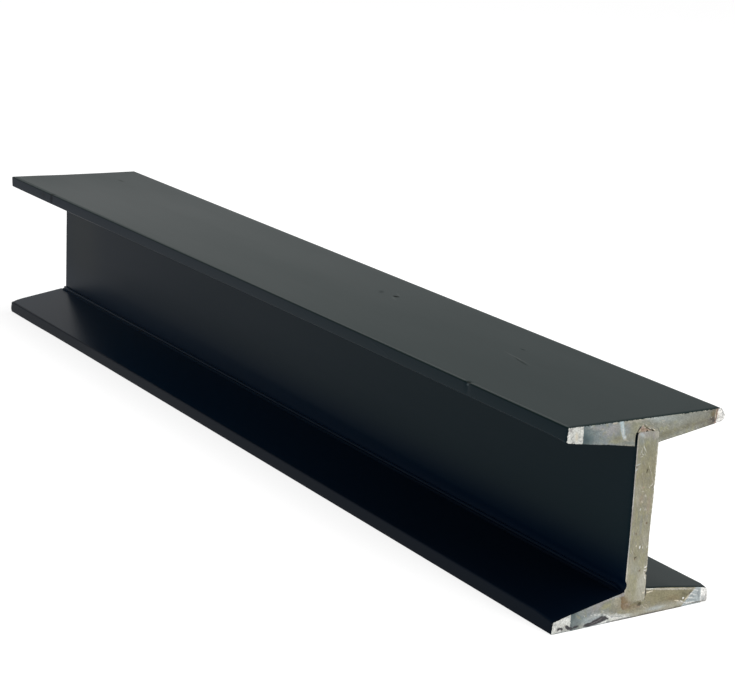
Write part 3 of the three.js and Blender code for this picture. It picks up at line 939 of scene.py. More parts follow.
# %% Marks on the ends of the two welds
TOP_WELD_MARKS = [
    (ROSE, 0.9, 0.5, (-3.3, 95.2), (2.6, 1.0), -8, 0),
    (ROSE, 0.85, 0.4, (-3.9, 96.4), (0.8, 1.2), -8, 0),
    (ROSE, 0.55, 0.5, (0.0, 94.6), (1.6, 0.5), -10, 0),
    (BROWN, 0.65, 0.5, (-3.8, 95.2), (0.9, 0.5), 0, 0.2),
    (BROWN, 0.55, 0.5, (-1.6, 95.2), (1.6, 0.36), -14, 0.1),
    (CREAM, 0.35, 0.5, (-4.9, 95.0), (0.8, 0.3), 30, 0),
    (SOOT_AND_SHADE, 0.85, 0.35, (-5.7, 95.9), (1.3, 0.38), 50, 0.5),
    (SOOT_AND_SHADE, 0.7, 0.4, (-6.8, 94.7), (0.9, 0.5), 50, 0.6),
    (OLIVE_DEEP, 0.85, 0.4, (-1.9, 96.5), (1.9, 0.35), -48, 0.3),
    (PIT, 0.65, 0.4, (0.2, 95.1), (1.6, 0.26), -32, 0.3),
    (SCRAPED, 0.75, 0.4, (0.6, 95.5), (1.1, 0.22), -34, 0),
    (CREAM, 0.5, 0.4, (-1.7, 97.1), (0.9, 0.22), -55, 0),
    (PIT, 0.85, 0.4, (2.5, 94.1), (1.1, 0.34), -34, 0.5),
    (CREAM, 0.9, 0.4, (3.3, 94.3), (0.9, 0.26), -34, 0),
    (SOOT_AND_SHADE, 0.7, 0.4, (-0.9, 94.1), (0.5, 0.4), 0, 0.5),
]
BOTTOM_WELD_MARKS = [
    (BROWN, 0.9, 0.6, (-7.1, 9.4), (0.7, 2.2), 6, 0),
    (ROSE, 0.18, 0.6, (-4.4, 6.8), (2.6, 1.4), -20, 0),
    (BROWN, 0.28, 0.7, (-4.6, 7.2), (3.0, 1.4), -10, 0),
    (BROWN, 0.42, 0.6, (-2.8, 5.6), (3.2, 0.8), -24, 0),
    (ROSE, 0.3, 0.6, (3.0, 5.0), (1.6, 1.0), -8, 0),
    (TAN, 0.5, 0.6, (1.0, 4.4), (3.6, 0.8), -8, 0),
    (BROWN, 0.34, 0.7, (0.2, 6.2), (3.4, 1.5), -6, 0),
    (ROSE, 0.3, 0.6, (-3.6, 7.6), (1.8, 0.8), -16, 0),
    (VIOLET_GREY, 0.85, 0.5, (-7.2, 13.2), (1.2, 1.2), 0, 0),
    (BROWN, 0.55, 0.5, (-7.0, 11.6), (0.8, 0.4), -30, 0.1),
    (PIT, 0.8, 0.55, (3.7, 6.1), (0.85, 0.8), 20, 0.6),
    (OLIVE_DEEP, 0.5, 0.6, (2.6, 7.0), (3.2, 0.8), -10, 0.1),
    (PALE, 0.15, 0.6, (5.6, 5.6), (0.9, 0.9), 0, 0),
]
ALL_MARKS = {
    "top_flange": TOP_MARKS + TOP_LATE_MARKS,
    "bottom_flange": BOTTOM_MARKS + BOTTOM_LATE_MARKS,
    "web_plate": WEB_MARKS,
    "top_root_weld": TOP_WELD_MARKS,
    "bottom_root_weld": BOTTOM_WELD_MARKS,
}
ZONES = {"top_flange": TOP_ZONES, "bottom_flange": BOTTOM_ZONES}
print("marks:", {name: len(marks) for name, marks in ALL_MARKS.items()})

# %% [markdown]
# ## Satin black paint
# The long faces have one sprayed coat. Up close it has the faint dimpled skin of sprayed paint, a sheen
# that changes slowly along the beam, and a little pale dust. The dimples are far too small to model, so
# they are bump. Nearly all that is seen of the paint is the room on it, so the colour under it is very
# dark. One black with one roughness would look flat. The web shuts the light out of its own foot, so the
# tint and the sheen change from zone to zone, and the tints are painted shade and painted reflection on one
# black coat. A zone is all that lies past a plane. The flanges behind the web and the underside have the
# tint of the top, and the web's own back keeps the tint of the side.

# %% Where the paint changes
# (point on the plane, the way its zone lies), in millimetres
# a little below the top face, which leans with the weld's pull
TOP_PLANE = ((0, -48.2, 101.1), (0, 0.014, 1))
# just behind the web
BACK_PLANE = ((0, 7, 0), (0, 1, 0))
UNDER_PLANE = ((0, 0, 0.3), (0, 0, -1))
# the lower part of the web, and below it the bottom flange, where the tint holds painted shade
FOOT_PLANE = ((0, 0, 31), (0, 0, -1))
FLANGE_PLANE = ((0, 0, 14.2), (0, -0.1, -1))
LOW_PLANE = ((0, 0, 16.5), (0, -0.3, -1))
EDGE_PLANE = ((0, -47.6, 0), (0, -1, 0))
# how softly a zone begins, in millimetres
FACE_SOFT = 0.5
UNDER_SOFT = 0.2
EDGE_SOFT = 0.6
FLANGE_SOFT = 3.0
FOOT_SOFT = 26.0


def past(recipe, where, plane, soft):
    """0 before a plane and 1 past it, climbing over a soft distance."""
    point, direction = plane
    return recipe.beyond(where, Vector(point) * MM, direction, soft * MM)


def mixed(amount, low, high):
    """A number that runs from low to high as the amount climbs from 0 to 1."""
    return (high - low) * amount + low


# %% [markdown]
# The tint is bluest at the far end and at the foot of the web, and greener on top. This is painted shade
# and painted reflection on one black: darker and bluer at the foot of the web and on the bottom flange,
# where they are shaded, and changed along the beam as it reflects more or less of the room. An image wrapped
# round the beam could hold that, but a blend for each zone is easier to change. Each one lies over the
# zones before it.

# %% The paint's tint, with painted shade
# (at the far end, at the near end)
PAINT_SIDE = ((0.0008, 0.0072, 0.0168, 1), (0.0034, 0.0130, 0.0190, 1))
PAINT_FOOT_SHADE = ((0.0003, 0.0092, 0.0250, 1), (0.0003, 0.0060, 0.0190, 1))
PAINT_LOW = ((0.0004, 0.0100, 0.0260, 1), (0.0004, 0.0028, 0.0080, 1))
PAINT_LOW_EDGE = (0.0005, 0.0037, 0.0104, 1)
PAINT_TOP = (0.0008, 0.0085, 0.0085, 1)


def paint_tint_and_shade(paint, where, near):
    """The coat's colour, zone over zone, with painted shade and reflection in its zones. `near` climbs from
    the far end to the near end.
    """
    top = past(paint, where, TOP_PLANE, FACE_SOFT)
    back = past(paint, where, BACK_PLANE, FACE_SOFT)
    under = past(paint, where, UNDER_PLANE, UNDER_SOFT)
    foot = past(paint, where, FOOT_PLANE, FOOT_SOFT)
    flange = past(paint, where, FLANGE_PLANE, FLANGE_SOFT)
    edge = past(paint, where, EDGE_PLANE, EDGE_SOFT)
    low_shade = paint.blend(edge, paint.blend(near, *PAINT_LOW), PAINT_LOW_EDGE)
    colour = paint.blend(foot, paint.blend(near, *PAINT_SIDE), paint.blend(near, *PAINT_FOOT_SHADE))
    colour = paint.blend(flange, colour, low_shade)
    return paint.blend(top.larger(back).larger(under), colour, PAINT_TOP)


# %% [markdown]
# A satin coat is never equally dull all over. Its roughness could be painted by hand on a texture, but a
# table of planes is shorter and stays sharp up close. Later rows lie over earlier ones, and each row's
# roughness runs from the far end to the near end.

# %% The paint's sheen
WEB_SHEEN = (0.41, 0.35)
# (roughness at the far end and the near end, softness, plane), in millimetres
SHEEN_ZONES = [
    ((0.37, 0.31), FOOT_SOFT, FOOT_PLANE),
    ((0.41, 0.39), EDGE_SOFT, BACK_PLANE),
    ((0.30, 0.43), EDGE_SOFT, LOW_PLANE),
    ((0.30, 0.37), EDGE_SOFT, ((0, 0, 97.6), (0, 0, 1))),
    ((0.37, 0.37), 90.0, ((-260, 30, 101.6), (-1, 0.8, 3))),
    ((0.42, 0.24), EDGE_SOFT, ((0, -47.7, 94.0), (0, -1, 0.2))),
    ((0.43, 0.50), EDGE_SOFT, ((0, -47.7, 8.0), (0, -1, -0.2))),
    ((0.41, 0.39), UNDER_SOFT, UNDER_PLANE),
    ((0.56, 0.56), 2.0, ((327.8, 0, 0), (1, 0, 0))),
]


def paint_sheen(paint, where, near):
    """How dull the coat is, zone over zone."""
    dull = mixed(near, *WEB_SHEEN)
    for ends, soft, plane in SHEEN_ZONES:
        dull = mixed(past(paint, where, plane, soft), dull, mixed(near, *ends))
    return dull


# %% [markdown]
# A few chips, rubs and pale streaks mark the coat. They are too shallow to change its shape, so each is one
# row of a table that darkens or lightens the paint and makes it duller or glossier. Noise makes their rims
# ragged.

# %% Marks on the paint
PAINT_DUST = tint(120, 122, 120)
PAINT_RAGGED = 2.5 * MM
PAINT_RAGGED_BY = 1.5 * MM
# (tint, strength, how dull, softness, middle, half sizes, turn about the vertical)
# places and sizes are in millimetres, turns in degrees
PAINT_MARKS = [
    (SOOT_AND_SHADE, 0.7, 0.75, 0.45, (82.5, 18.0, 100.6), (1.9, 1.3, 3.0), 0),
    (SOOT_AND_SHADE, 0.18, 0.16, 0.7, (69.7, 16.3, 100.6), (2.8, 1.3, 3.0), -32),
    (PAINT_DUST, 0.1, 0.0, 0.6, (85.5, 14.6, 100.6), (4.0, 0.8, 3.0), -20),
    (PAINT_DUST, 0.08, 0.0, 0.6, (78.5, 22.2, 100.6), (3.4, 0.6, 3.0), -20),
    (SOOT_AND_SHADE, 0.3, 0.22, 0.6, (226.0, 1.6, 101.4), (7.0, 0.7, 3.0), -12),
    (PAINT_DUST, 0.2, 0.0, 0.5, (219.0, 4.2, 101.4), (13.0, 0.3, 3.0), -7),
    (SOOT_AND_SHADE, 0.3, 0.25, 0.6, (206.0, 17.4, 101.4), (1.8, 0.7, 3.0), 0),
    (SOOT_AND_SHADE, 0.3, 0.12, 0.6, (-294.0, 21.0, 100.8), (4.0, 1.2, 3.0), 0),
    # two dull dark patches on the left side of the top flange, near the far end
    (SOOT_AND_SHADE, 0.5, 0.32, 0.6, (-258.0, -48.2, 98.6), (2.2, 2.0, 4.0), 0),
    (SOOT_AND_SHADE, 0.3, 0.1, 0.6, (-272.0, -48.2, 99.0), (5.0, 2.0, 2.0), 0),
    # a dark spot on the dent in the upper left arris, and a pale one on its side
    (SOOT_AND_SHADE, 0.5, 0.45, 0.4, (249.0, -47.2, 101.6), (2.0, 0.9, 0.8), 0),
    (MOSS, 0.03, 0.0, 0.8, (-300.0, -6.3, 58.0), (26.0, 2.0, 26.0), 0),
    (HAZE, 0.16, -0.15, 0.5, (249.2, -48.2, 100.5), (0.9, 1.0, 0.7), 0),
]


def lay_paint_marks(paint, where, colour, dull):
    shaken = paint.shaken(where, PAINT_RAGGED, PAINT_RAGGED_BY)
    for mark_tint, strength, dulling, soft, middle, half, turn in PAINT_MARKS:
        centre = Vector(middle) * MM
        amount = paint.spot(shaken, centre, Vector(half) * MM, (0, 0, math.radians(turn)), soft)
        colour = paint.blend(amount * strength, colour, mark_tint)
        dull = mixed(amount * dulling, dull, 1.0)
    return colour, dull


# %% [markdown]
# Dust, films of oil and saw scratches are all noise of some size and stretch, cut off at a level. So one
# helper reads them from rows, and a second one lets a number swing a little both ways with the noise.

# %% Grains
EVEN = (1, 1, 1)
# noise runs from 0 to 1, but nearly all of it lies between these
NOISE_LOW = 0.3
NOISE_HIGH = 0.7


def cloud(recipe, where, row, lean=0, share=1.0):
    """How strong one kind of grain is at each point. The grain's size is in millimetres."""
    size, detail, stretch, begins, full, strength = row
    grain = recipe.grain(where, size * MM, detail, stretch, (math.radians(lean), 0, 0))
    return recipe.ramp(grain, begins, full, 0.0, strength * share)


def swing(recipe, grain, by, begins=NOISE_LOW, full=NOISE_HIGH):
    """A number that goes from -by to by as the noise climbs."""
    return recipe.ramp(grain, begins, full, -by, by)


# %% [markdown]
# The finish itself is one Principled shader. Its colour and roughness come from the cells above, dust is
# laid over them last, and the sprayed skin is a fine bump.

# %% Paint
# (size, detail, stretch, noise where it begins, noise where it is full, strength)
DUST_STREAKS = (9, 4.0, (14, 1, 1), 0.45, 0.80, 0.004)
DUST_SPECKS = (1.1, 2.0, EVEN, 0.72, 0.80, 0.03)
SLOW_SIZE = 45 * MM
SLOW_STRETCH = (5, 1, 1)
SLOW_SWING = 0.012
DIMPLE = 1.5 * MM
DIMPLE_DEPTH = 0.02 * MM
DIMPLE_STRENGTH = 0.35
PAINT_SPECULAR = 0.05
PAINT_GLOSS_TINT = (0.84, 1.0, 1.0, 1)


def satin_black():
    material = new_material("satin_black")
    paint = Recipe(material.node_tree)
    where = paint.place()
    along = paint.node("ShaderNodeSeparateXYZ", None, {0: where}, 0)
    near = paint.ramp(along, -HALF_LENGTH, HALF_LENGTH)
    colour = paint_tint_and_shade(paint, where, near)
    dull = paint_sheen(paint, where, near)
    colour, dull = lay_paint_marks(paint, where, colour, dull)
    dust = cloud(paint, where, DUST_STREAKS) + cloud(paint, where, DUST_SPECKS)
    slow = paint.grain(where, SLOW_SIZE, stretch=SLOW_STRETCH)
    skin = paint.grain(where, DIMPLE, detail=2.0)
    bump = {"Strength": DIMPLE_STRENGTH, "Distance": DIMPLE_DEPTH, "Height": skin}
    values = {
        "Base Color": paint.blend(dust, colour, PAINT_DUST),
        "Roughness": dull + swing(paint, slow, SLOW_SWING),
        "Metallic": 0.0,
        "Specular IOR Level": PAINT_SPECULAR,
        "Specular Tint": PAINT_GLOSS_TINT,
        "Normal": paint.node("ShaderNodeBump", None, bump),
    }
    surface = paint.node("ShaderNodeBsdfPrincipled", None, values)
    paint.node("ShaderNodeOutputMaterial", None, {"Surface": surface})
    return material


PAINT = satin_black()
print("paint nodes:", len(PAINT.node_tree.nodes))

# %% [markdown]
# ## Bare ends
# Each end finish is built up like the real surface. A tone runs across the face from the films on it, slow
# noise mottles it, fine slanting lines are the saw's, and then come the marks, one over the other. Dark
# spots are dirt or paint, or holes painted dark as shade, so the darker the colour the less metallic it is.

# %% Where the tones change
# (place across the end, tint), in millimetres
TOP_TONES = [(-42, TEAL), (-31, SLATE), (-23, COOL), (-13, SAGE), (0, SAGE), (30, SAGE), (40, BROWN_GREY)]
BOTTOM_TONES = [(-38, TEAL), (-32, SLATE), (-26, COOL), (-15, SAGE), (-7, PUTTY), (12, KHAKI), (34, KHAKI)]
BOTTOM_WELD_TONES = [(-8, BROWN), (-3, KHAKI), (3, KHAKI), (7, DRAB)]
TOP_WELD_TONES = [(-8, DRAB), (0, PUTTY), (7, SAGE)]
FAR_TONES = [(-48, SLATE), (-16, SAGE), (14, PUTTY), (48, SAGE)]
# (place up the end, tint)
WEB_TONES = [(8, SAND), (24, SAND), (34, PUTTY), (60, PUTTY), (76, KHAKI), (90, SAGE)]

# %% [markdown]
# The tables of marks and zones are painted in order, each row over the rows before it. A mark's depth also
# goes into a height, which becomes bump, so a pit that is too fine for the mesh still catches the light.

# %% Marks and zones on a bare end


def lay_marks(steel, where, colour, dents, marks):
    """Paints a table of marks over a colour, and adds their depths to a height in millimetres."""
    for mark_tint, strength, soft, middle, half, turn, depth in marks:
        centre = (HALF_LENGTH, middle[0] * MM, middle[1] * MM)
        reach = (1.0, half[0] * MM, half[1] * MM)
        amount = steel.spot(where, centre, reach, (math.radians(turn), 0, 0), soft, strength)
        colour = steel.blend(amount, colour, mark_tint)
        if depth:
            sunk = {0: amount, 1: -depth / strength, 2: dents}
            dents = steel.node("ShaderNodeMath", {"operation": "MULTIPLY_ADD"}, sunk)
    return colour, dents


def lay_zones(steel, where, colour, zones):
    """Paints each zone over a colour, and adds up how crinkled the steel is."""
    crinkled = 0.0
    for zone_tint, strength, point, direction, soft, crinkle in zones:
        foot = (HALF_LENGTH, point[0] * MM, point[1] * MM)
        amount = steel.beyond(where, foot, (0, *direction), soft * MM)
        colour = steel.blend(amount * strength, colour, zone_tint)
        crinkled = crinkled + amount * crinkle
    return colour, crinkled


# %% [markdown]
# Bare steel is never one tone. Films of oil dry in clouds, the saw leaves thin scratches that lean one way,
# and the rolled plate of the web shows bands that run up it. The web also has a pale burr along both long
# edges.

# %% Films, scratches, bands and burr
# (tint, (size, detail, stretch, noise where it begins, noise where it is full, strength))
FILMS = [
    (MOSS, (2.9, 4.0, EVEN, 0.50, 0.70, 0.50)),
    (COOL, (2.1, 4.0, EVEN, 0.52, 0.70, 0.40)),
    (VIOLET_GREY, (1.6, 3.0, EVEN, 0.56, 0.70, 0.30)),
]
SCRATCHES = [
    (SCRAPED, (0.34, 1.0, (1, 9, 1), 0.62, 0.74, 0.45)),
    (OLIVE_DEEP, (0.42, 1.0, (1, 6, 1), 0.64, 0.76, 0.45)),
]
UPRIGHT_BANDS = [
    (MOSS, (1.5, 2.0, (1, 1, 9), 0.40, 0.62, 0.34)),
    (OLIVE_DEEP, (0.55, 2.0, (1, 1, 11), 0.47, 0.66, 0.24)),
]
BURR_BEGINS = 5.75 * MM
BURR_FULL = 6.10 * MM
BURR_GRAIN = 1.3 * MM
BURR_FAINT = 0.10
BURR_STRONG = 0.80
BURR_LEVELS = (0.42, 0.58)


def lay_grains(steel, where, colour, grains, lean=0, share=1.0):
    for grain_tint, row in grains:
        colour = steel.blend(cloud(steel, where, row, lean, share), colour, grain_tint)
    return colour


def broken_burr(steel, where, colour):
    """A pale line just inside both long edges of the web, broken here and there."""
    across = steel.node("ShaderNodeSeparateXYZ", None, {0: where}, 1)
    out = steel.node("ShaderNodeMath", {"operation": "ABSOLUTE"}, {0: across})
    near_edge = steel.ramp(out, BURR_BEGINS, BURR_FULL)
    broken = steel.ramp(steel.grain(where, BURR_GRAIN), *BURR_LEVELS, BURR_FAINT, BURR_STRONG)
    return steel.blend(near_edge * broken, colour, SCRAPED)


# %% [markdown]
# One function makes all eight end finishes. The plate differs in the way its tones run, in how far the saw
# lines lean, in how strongly it is mottled, and by its bands and burr. Last come clouds, speckle, saw lines
# and creases, which change how bright the steel is and how high it stands. Where speckle, saw lines and
# creases sink they are painted darker too, which is painted shade in their hollows.

# %% A bare end
ACROSS = 1
UP = 2
# (the way the tones run, the lean of the saw lines in degrees, how strongly it is mottled)
BAR_GRAIN = (ACROSS, -28, 1.0)
PLATE_GRAIN = (UP, -62, 0.7)
WAVY = 6 * MM
WAVY_BY = 5 * MM
RAGGED = 1.1 * MM
CLOUD = 3.6 * MM
CLOUD_SHADE = 0.08
SPECKLE = 0.8 * MM
SPECKLE_SHADE = 0.17
SPECKLE_LEVELS = (0.25, 0.75)
SPECKLE_HEIGHT = 0.03
SAW_LINE = 0.36 * MM
SAW_STRETCH = (1, 12, 1)
SAW_SHADE = 0.07
SAW_HEIGHT = 0.012
CREASE = 1.2 * MM
CREASE_STRETCH = (1, 1.7, 0.8)
CREASE_TURN = math.radians(35)
CREASE_HEIGHT = 0.25
FOLD_SHADE = 0.36
FOLD_LEVELS = (0.30, 0.52)
STEEL_RELIEF = 0.8
STEEL_ROUGH = (0.46, 0.56)
# a grey darker than the first is not metal at all, and one paler than the second is as metallic as it gets
DIRT_GREY = 0.05
STEEL_GREY = 0.16
STEEL_METALLIC = 0.5


def bare_end(name, tones, marks=(), zones=(), late_marks=(), plate=False):
    """A finish for one end: tones, marks, zones and later marks, with saw lines over them all."""
    axis, lean, mottle = PLATE_GRAIN if plate else BAR_GRAIN
    material = new_material(name)
    steel = Recipe(material.node_tree)
    where = steel.place()
    wavy = steel.shaken(where, WAVY, WAVY_BY)
    ragged = steel.shaken(where, RAGGED, RAGGED)
    run = steel.node("ShaderNodeSeparateXYZ", None, {0: wavy}, axis)
    colour = steel.graded(run, [(place * MM, colour) for place, colour in tones])
    colour = lay_grains(steel, where, colour, FILMS, share=mottle)
    colour = lay_grains(steel, where, colour, SCRATCHES, lean)
    if plate:
        colour = lay_grains(steel, where, colour, UPRIGHT_BANDS)
        colour = broken_burr(steel, where, colour)
    colour, dents = lay_marks(steel, ragged, colour, 0.0, marks)
    colour, crinkled = lay_zones(steel, ragged, colour, zones)
    colour, dents = lay_marks(steel, ragged, colour, dents, late_marks)
    clouds = steel.grain(where, CLOUD)
    speckle = steel.grain(where, SPECKLE, detail=4.0)
    saw = steel.grain(where, SAW_LINE, 2.0, SAW_STRETCH, (math.radians(lean), 0, 0))
    crease = steel.grain(where, CREASE, 4.0, CREASE_STRETCH, (CREASE_TURN, 0, 0))
    # painted shade: the creases are darker in their hollows
    painted_crease_shading = steel.ramp(crease, *FOLD_LEVELS, FOLD_SHADE, 0.0) * crinkled
    # clouds are the steel's own tone; speckle and saw lines are darker where they sink, which is partly
    # painted shade
    shade = swing(steel, clouds, CLOUD_SHADE * mottle)
    shade = shade + swing(steel, speckle, SPECKLE_SHADE * mottle, *SPECKLE_LEVELS)
    shade = shade + swing(steel, saw, SAW_SHADE)
    colour = steel.brighter(colour, 1.0 + shade - painted_crease_shading)
    heights = dents + steel.ramp(saw, NOISE_LOW, NOISE_HIGH, 0.0, SAW_HEIGHT)
    heights = heights + speckle * SPECKLE_HEIGHT + crease * crinkled * CREASE_HEIGHT
    grey = steel.node("ShaderNodeRGBToBW", None, {0: colour})
    bump = {"Strength": STEEL_RELIEF, "Distance": MM, "Height": heights}
    values = {
        "Base Color": colour,
        "Roughness": steel.ramp(speckle, NOISE_LOW, NOISE_HIGH, *STEEL_ROUGH),
        "Metallic": steel.ramp(grey, DIRT_GREY, STEEL_GREY, 0.0, STEEL_METALLIC),
        "Normal": steel.node("ShaderNodeBump", None, bump),
    }
    surface = steel.node("ShaderNodeBsdfPrincipled", None, values)
    steel.node("ShaderNodeOutputMaterial", None, {"Surface": surface})
    print(name, "nodes:", len(material.node_tree.nodes))
    return material


# %% [markdown]
# The five near ends have a finish each, because no two of them carry the same marks. The far ends are
# plainer on purpose, so three finishes without marks serve them.

# %% The end finishes
NEAR_ENDS = {
    "top_flange": bare_end("top_flange_end", TOP_TONES, TOP_MARKS, TOP_ZONES, TOP_LATE_MARKS),
    "bottom_flange": bare_end(
        "bottom_flange_end", BOTTOM_TONES, BOTTOM_MARKS, BOTTOM_ZONES, BOTTOM_LATE_MARKS
    ),
    "web_plate": bare_end("web_end", WEB_TONES, WEB_MARKS, plate=True),
    "top_root_weld": bare_end("top_weld_end", TOP_WELD_TONES, TOP_WELD_MARKS),
    "bottom_root_weld": bare_end("bottom_weld_end", BOTTOM_WELD_TONES, BOTTOM_WELD_MARKS),
}
FAR_FLANGE_END = bare_end("far_flange_end", FAR_TONES)
FAR_WEB_END = bare_end("far_web_end", WEB_TONES, plate=True)
FAR_WELD_END = bare_end("far_weld_end", BOTTOM_WELD_TONES)

# %% [markdown]
# ## Relief on the ends
# The same tables now move the corners of the fine grid. A mark with a depth sinks, one with a negative
# depth stands up as a burr, and the zones crinkle. Bump alone would leave the outline of the end quite
# straight. The relief fades out a millimetre behind the face.

# %% Relief
FACE_UNEVEN = 0.08
UNEVEN_GRAIN = 0.35
CRINKLE_DEPTH = 0.30
CRINKLE_GRAIN = 1.1
CRINKLE_SHARE = 0.5
CRINKLE_SOFTER = 1.5
SIDE_FADE = 1.0 * MM
# each piece draws its noise from a slice of its own, and its far end from one further on
SEEDS = {"bottom_flange": 3, "top_flange": 17, "web_plate": 29, "bottom_root_weld": 41, "top_root_weld": 43}
FAR_SEED = 50


def press_depth(across, up, marks):
    """How deep a table of marks presses one place, in millimetres."""
    total = 0.0
    for _, _, soft, middle, half, turn, depth in marks:
        if depth:
            angle = math.radians(turn)
            step_across = across - middle[0]
            step_up = up - middle[1]
            along = (step_across * math.cos(angle) + step_up * math.sin(angle)) / half[0]
            over = (step_up * math.cos(angle) - step_across * math.sin(angle)) / half[1]
            reach = math.hypot(along, over) / (1 + soft)
            total += depth * max(0.0, 1 - reach * reach)
    return total


def crinkle_depth(across, up, zones):
    total = 0.0
    for _, _, point, direction, soft, crinkle in zones:
        way = Vector(direction).normalized()
        run = (Vector((across, up)) - Vector(point)).dot(way)
        total += crinkle * held(run / (soft + CRINKLE_SOFTER))
    return total


def press_end(shape, side, seed, marks, zones, uneven):
    """Moves the corners at one end of a piece in and out along the beam."""
    for corner in corners_beyond(shape, side, SIDE_FADE + TOUCH):
        fade = end_fade(corner, side, SIDE_FADE)
        if fade == 0:
            continue
        across = corner.co.y / MM
        up = corner.co.z / MM
        spot = Vector((seed, across, up))
        sunk = uneven * (1 + noise.noise(spot * UNEVEN_GRAIN)) + press_depth(across, up, marks)
        crinkle = CRINKLE_DEPTH * crinkle_depth(across, up, zones)
        sunk += crinkle * (CRINKLE_SHARE + noise.noise(spot * CRINKLE_GRAIN))
        corner.co.x -= side * fade * sunk * MM


def press_ends(shape, node, uneven=FACE_UNEVEN):
    """Presses the marks into the near end. The far end is only a little uneven."""
    press_end(shape, 1, SEEDS[node], ALL_MARKS[node], ZONES.get(node, ()), uneven)
    press_end(shape, -1, SEEDS[node] + FAR_SEED, (), (), uneven)


# %% [markdown]
# ## The two flange bars
# Each is a bar that tapers to both sides, with a round-bottomed groove for the web. Only the outer outline
# is eased, because the groove's edges meet the web and the weld. A real bar is never as true as its
# drawing, and its faults sit in certain places. So they are short tables, read off on straight lines, and
# not noise.

# %% Helpers for the flange bars
GROOVE_REACH = 8.2 * MM
OUTER_SKIN = 1.0 * MM
TIP_THICKNESS = 7.0 * MM
FLANGE_TAPER = 1 / 6


def on_a_flange(middle):
    near_outer_face = middle.z < OUTER_SKIN or middle.z > DEPTH - OUTER_SKIN
    return near_outer_face or abs(middle.y) > GROOVE_REACH


def drawn_thickness(across):
    """How thick a flange was drawn at a place across it."""
    return TIP_THICKNESS + (HALF_WIDTH - abs(across)) * FLANGE_TAPER


def distance_in(corner, node):
    """How far a corner lies in from the flange's outer face."""
    return DEPTH - corner.co.z if node == "top_flange" else corner.co.z


def read_off(table, place):
    """The value at a place, on the straight lines between a table's points."""
    if place <= table[0][0]:
        return table[0][1]
    for (low, first), (high, last) in zip(table, table[1:]):
        if place <= high:
            return first + (last - first) * (place - low) / (high - low)
    return table[-1][1]


# %% [markdown]
# Handling has rounded the top flange's upper right arris, more and more towards the near end. The packed
# solid has one radius all along, so its corners are drawn in or out from the sharp corner that the round
# replaced.

# %% The rounded arris
DRAWN_ROUND = 3.2 * MM
ROUND_FAR = 1.0 * MM
ROUND_NEAR = 4.7 * MM


def change_round(shape):
    for corner in shape.verts:
        out = HALF_WIDTH - corner.co.y
        down = DEPTH - corner.co.z
        if max(out, down) < DRAWN_ROUND + TOUCH:
            new_round = ROUND_NEAR if corner.co.x > 0 else ROUND_FAR
            corner.co.y = HALF_WIDTH - out * new_round / DRAWN_ROUND
            corner.co.z = DEPTH - down * new_round / DRAWN_ROUND


# %% [markdown]
# Something once struck the upper left arris and left a small dent. A boolean cut would leave a sharp
# hollow, so a few rings are cut close together there and the arris is pushed down between them.

# %% The dented arris
KNOCK_PLACE = 249 * MM
KNOCK_REACH = 2.4 * MM
KNOCK_DEPTH = 0.45 * MM
KNOCK_PUSH = 0.6
KNOCK_RINGS = 3
KNOCK_BESIDE = 1.6
KNOCK_CUTS = (2.0 * MM, 3.5 * MM)
ARRIS_DOWN = 1.0 * MM
ARRIS_IN = 0.9 * MM


def knock_arris(shape):
    for step in range(-KNOCK_RINGS, KNOCK_RINGS + 1):
        cut_plane(shape, 0, KNOCK_PLACE + step * KNOCK_REACH / 2)
    for inset in KNOCK_CUTS:
        limit = KNOCK_BESIDE * KNOCK_REACH
        beside = {corner for corner in shape.verts if abs(corner.co.x - KNOCK_PLACE) < limit}
        cut_plane(shape, 1, -HALF_WIDTH + inset, beside)
    for corner in shape.verts:
        away = abs(corner.co.x - KNOCK_PLACE) / KNOCK_REACH
        on_arris = corner.co.z > DEPTH - ARRIS_DOWN and corner.co.y < -HALF_WIDTH + ARRIS_IN
        if away < 1 and on_arris:
            share = (1 - away * away) ** 2
            corner.co.z -= KNOCK_DEPTH * share
            corner.co.y += KNOCK_DEPTH * share * KNOCK_PUSH


# %% [markdown]
# The rolls left each bar a little thicker or thinner than drawn, by an amount that changes across it. Near
# the end the inner face is worn as well. The outer face stays where it is, and the inner one moves in or
# out.

# %% Rolled thickness
GROOVE_BOTTOM = 8.5 * MM
WORN_LENGTH = 14.0 * MM
# (place across, how much thicker the rolled bar came out than drawn), in millimetres
THICKER = {
    "top_flange": [(-48, 0.0), (-8, -0.45), (8, -1.05), (30, -0.75), (48, -0.50)],
    "bottom_flange": [(-48, 0.45), (-8, 0.0), (8, 0.0), (24, 0.35), (48, 0.35)],
}
# (place across, how much is worn off a flange's inner face at the near end), in millimetres
WORN = {
    "top_flange": [(-47, -0.38), (-42, -0.38), (-34, -0.32), (-30, -0.22), (-25, -0.05), (-8, 0.0)],
    "bottom_flange": [
        (-47, 1.40), (-44, 1.14), (-39, 0.76), (-30, 0.56), (-24, 0.32), (-18, 0.10), (-8, 0.0),
    ],
}


def roll_thinner(shape, node):
    way = -1 if node == "top_flange" else 1
    for corner in shape.verts:
        # the groove's round bottom keeps its place, and its walls shrink or stretch above it
        still = GROOVE_BOTTOM if abs(corner.co.y) < GROOVE_REACH else 0.0
        share = held((distance_in(corner, node) - still) / (drawn_thickness(corner.co.y) - still))
        place = corner.co.y / MM
        change = read_off(THICKER[node], place)
        change -= read_off(WORN[node], place) * end_fade(corner, reach=WORN_LENGTH)
        corner.co.z += change * MM * share * way


# %% [markdown]
# A rolled bar is never dead straight. The left edges of both bars bow in and out, and their lower corners
# lean out towards the near end. A long flat face can't bend, so rings are cut first.

# %% Bowed edges
BOW_BEGINS = 10.0 * MM
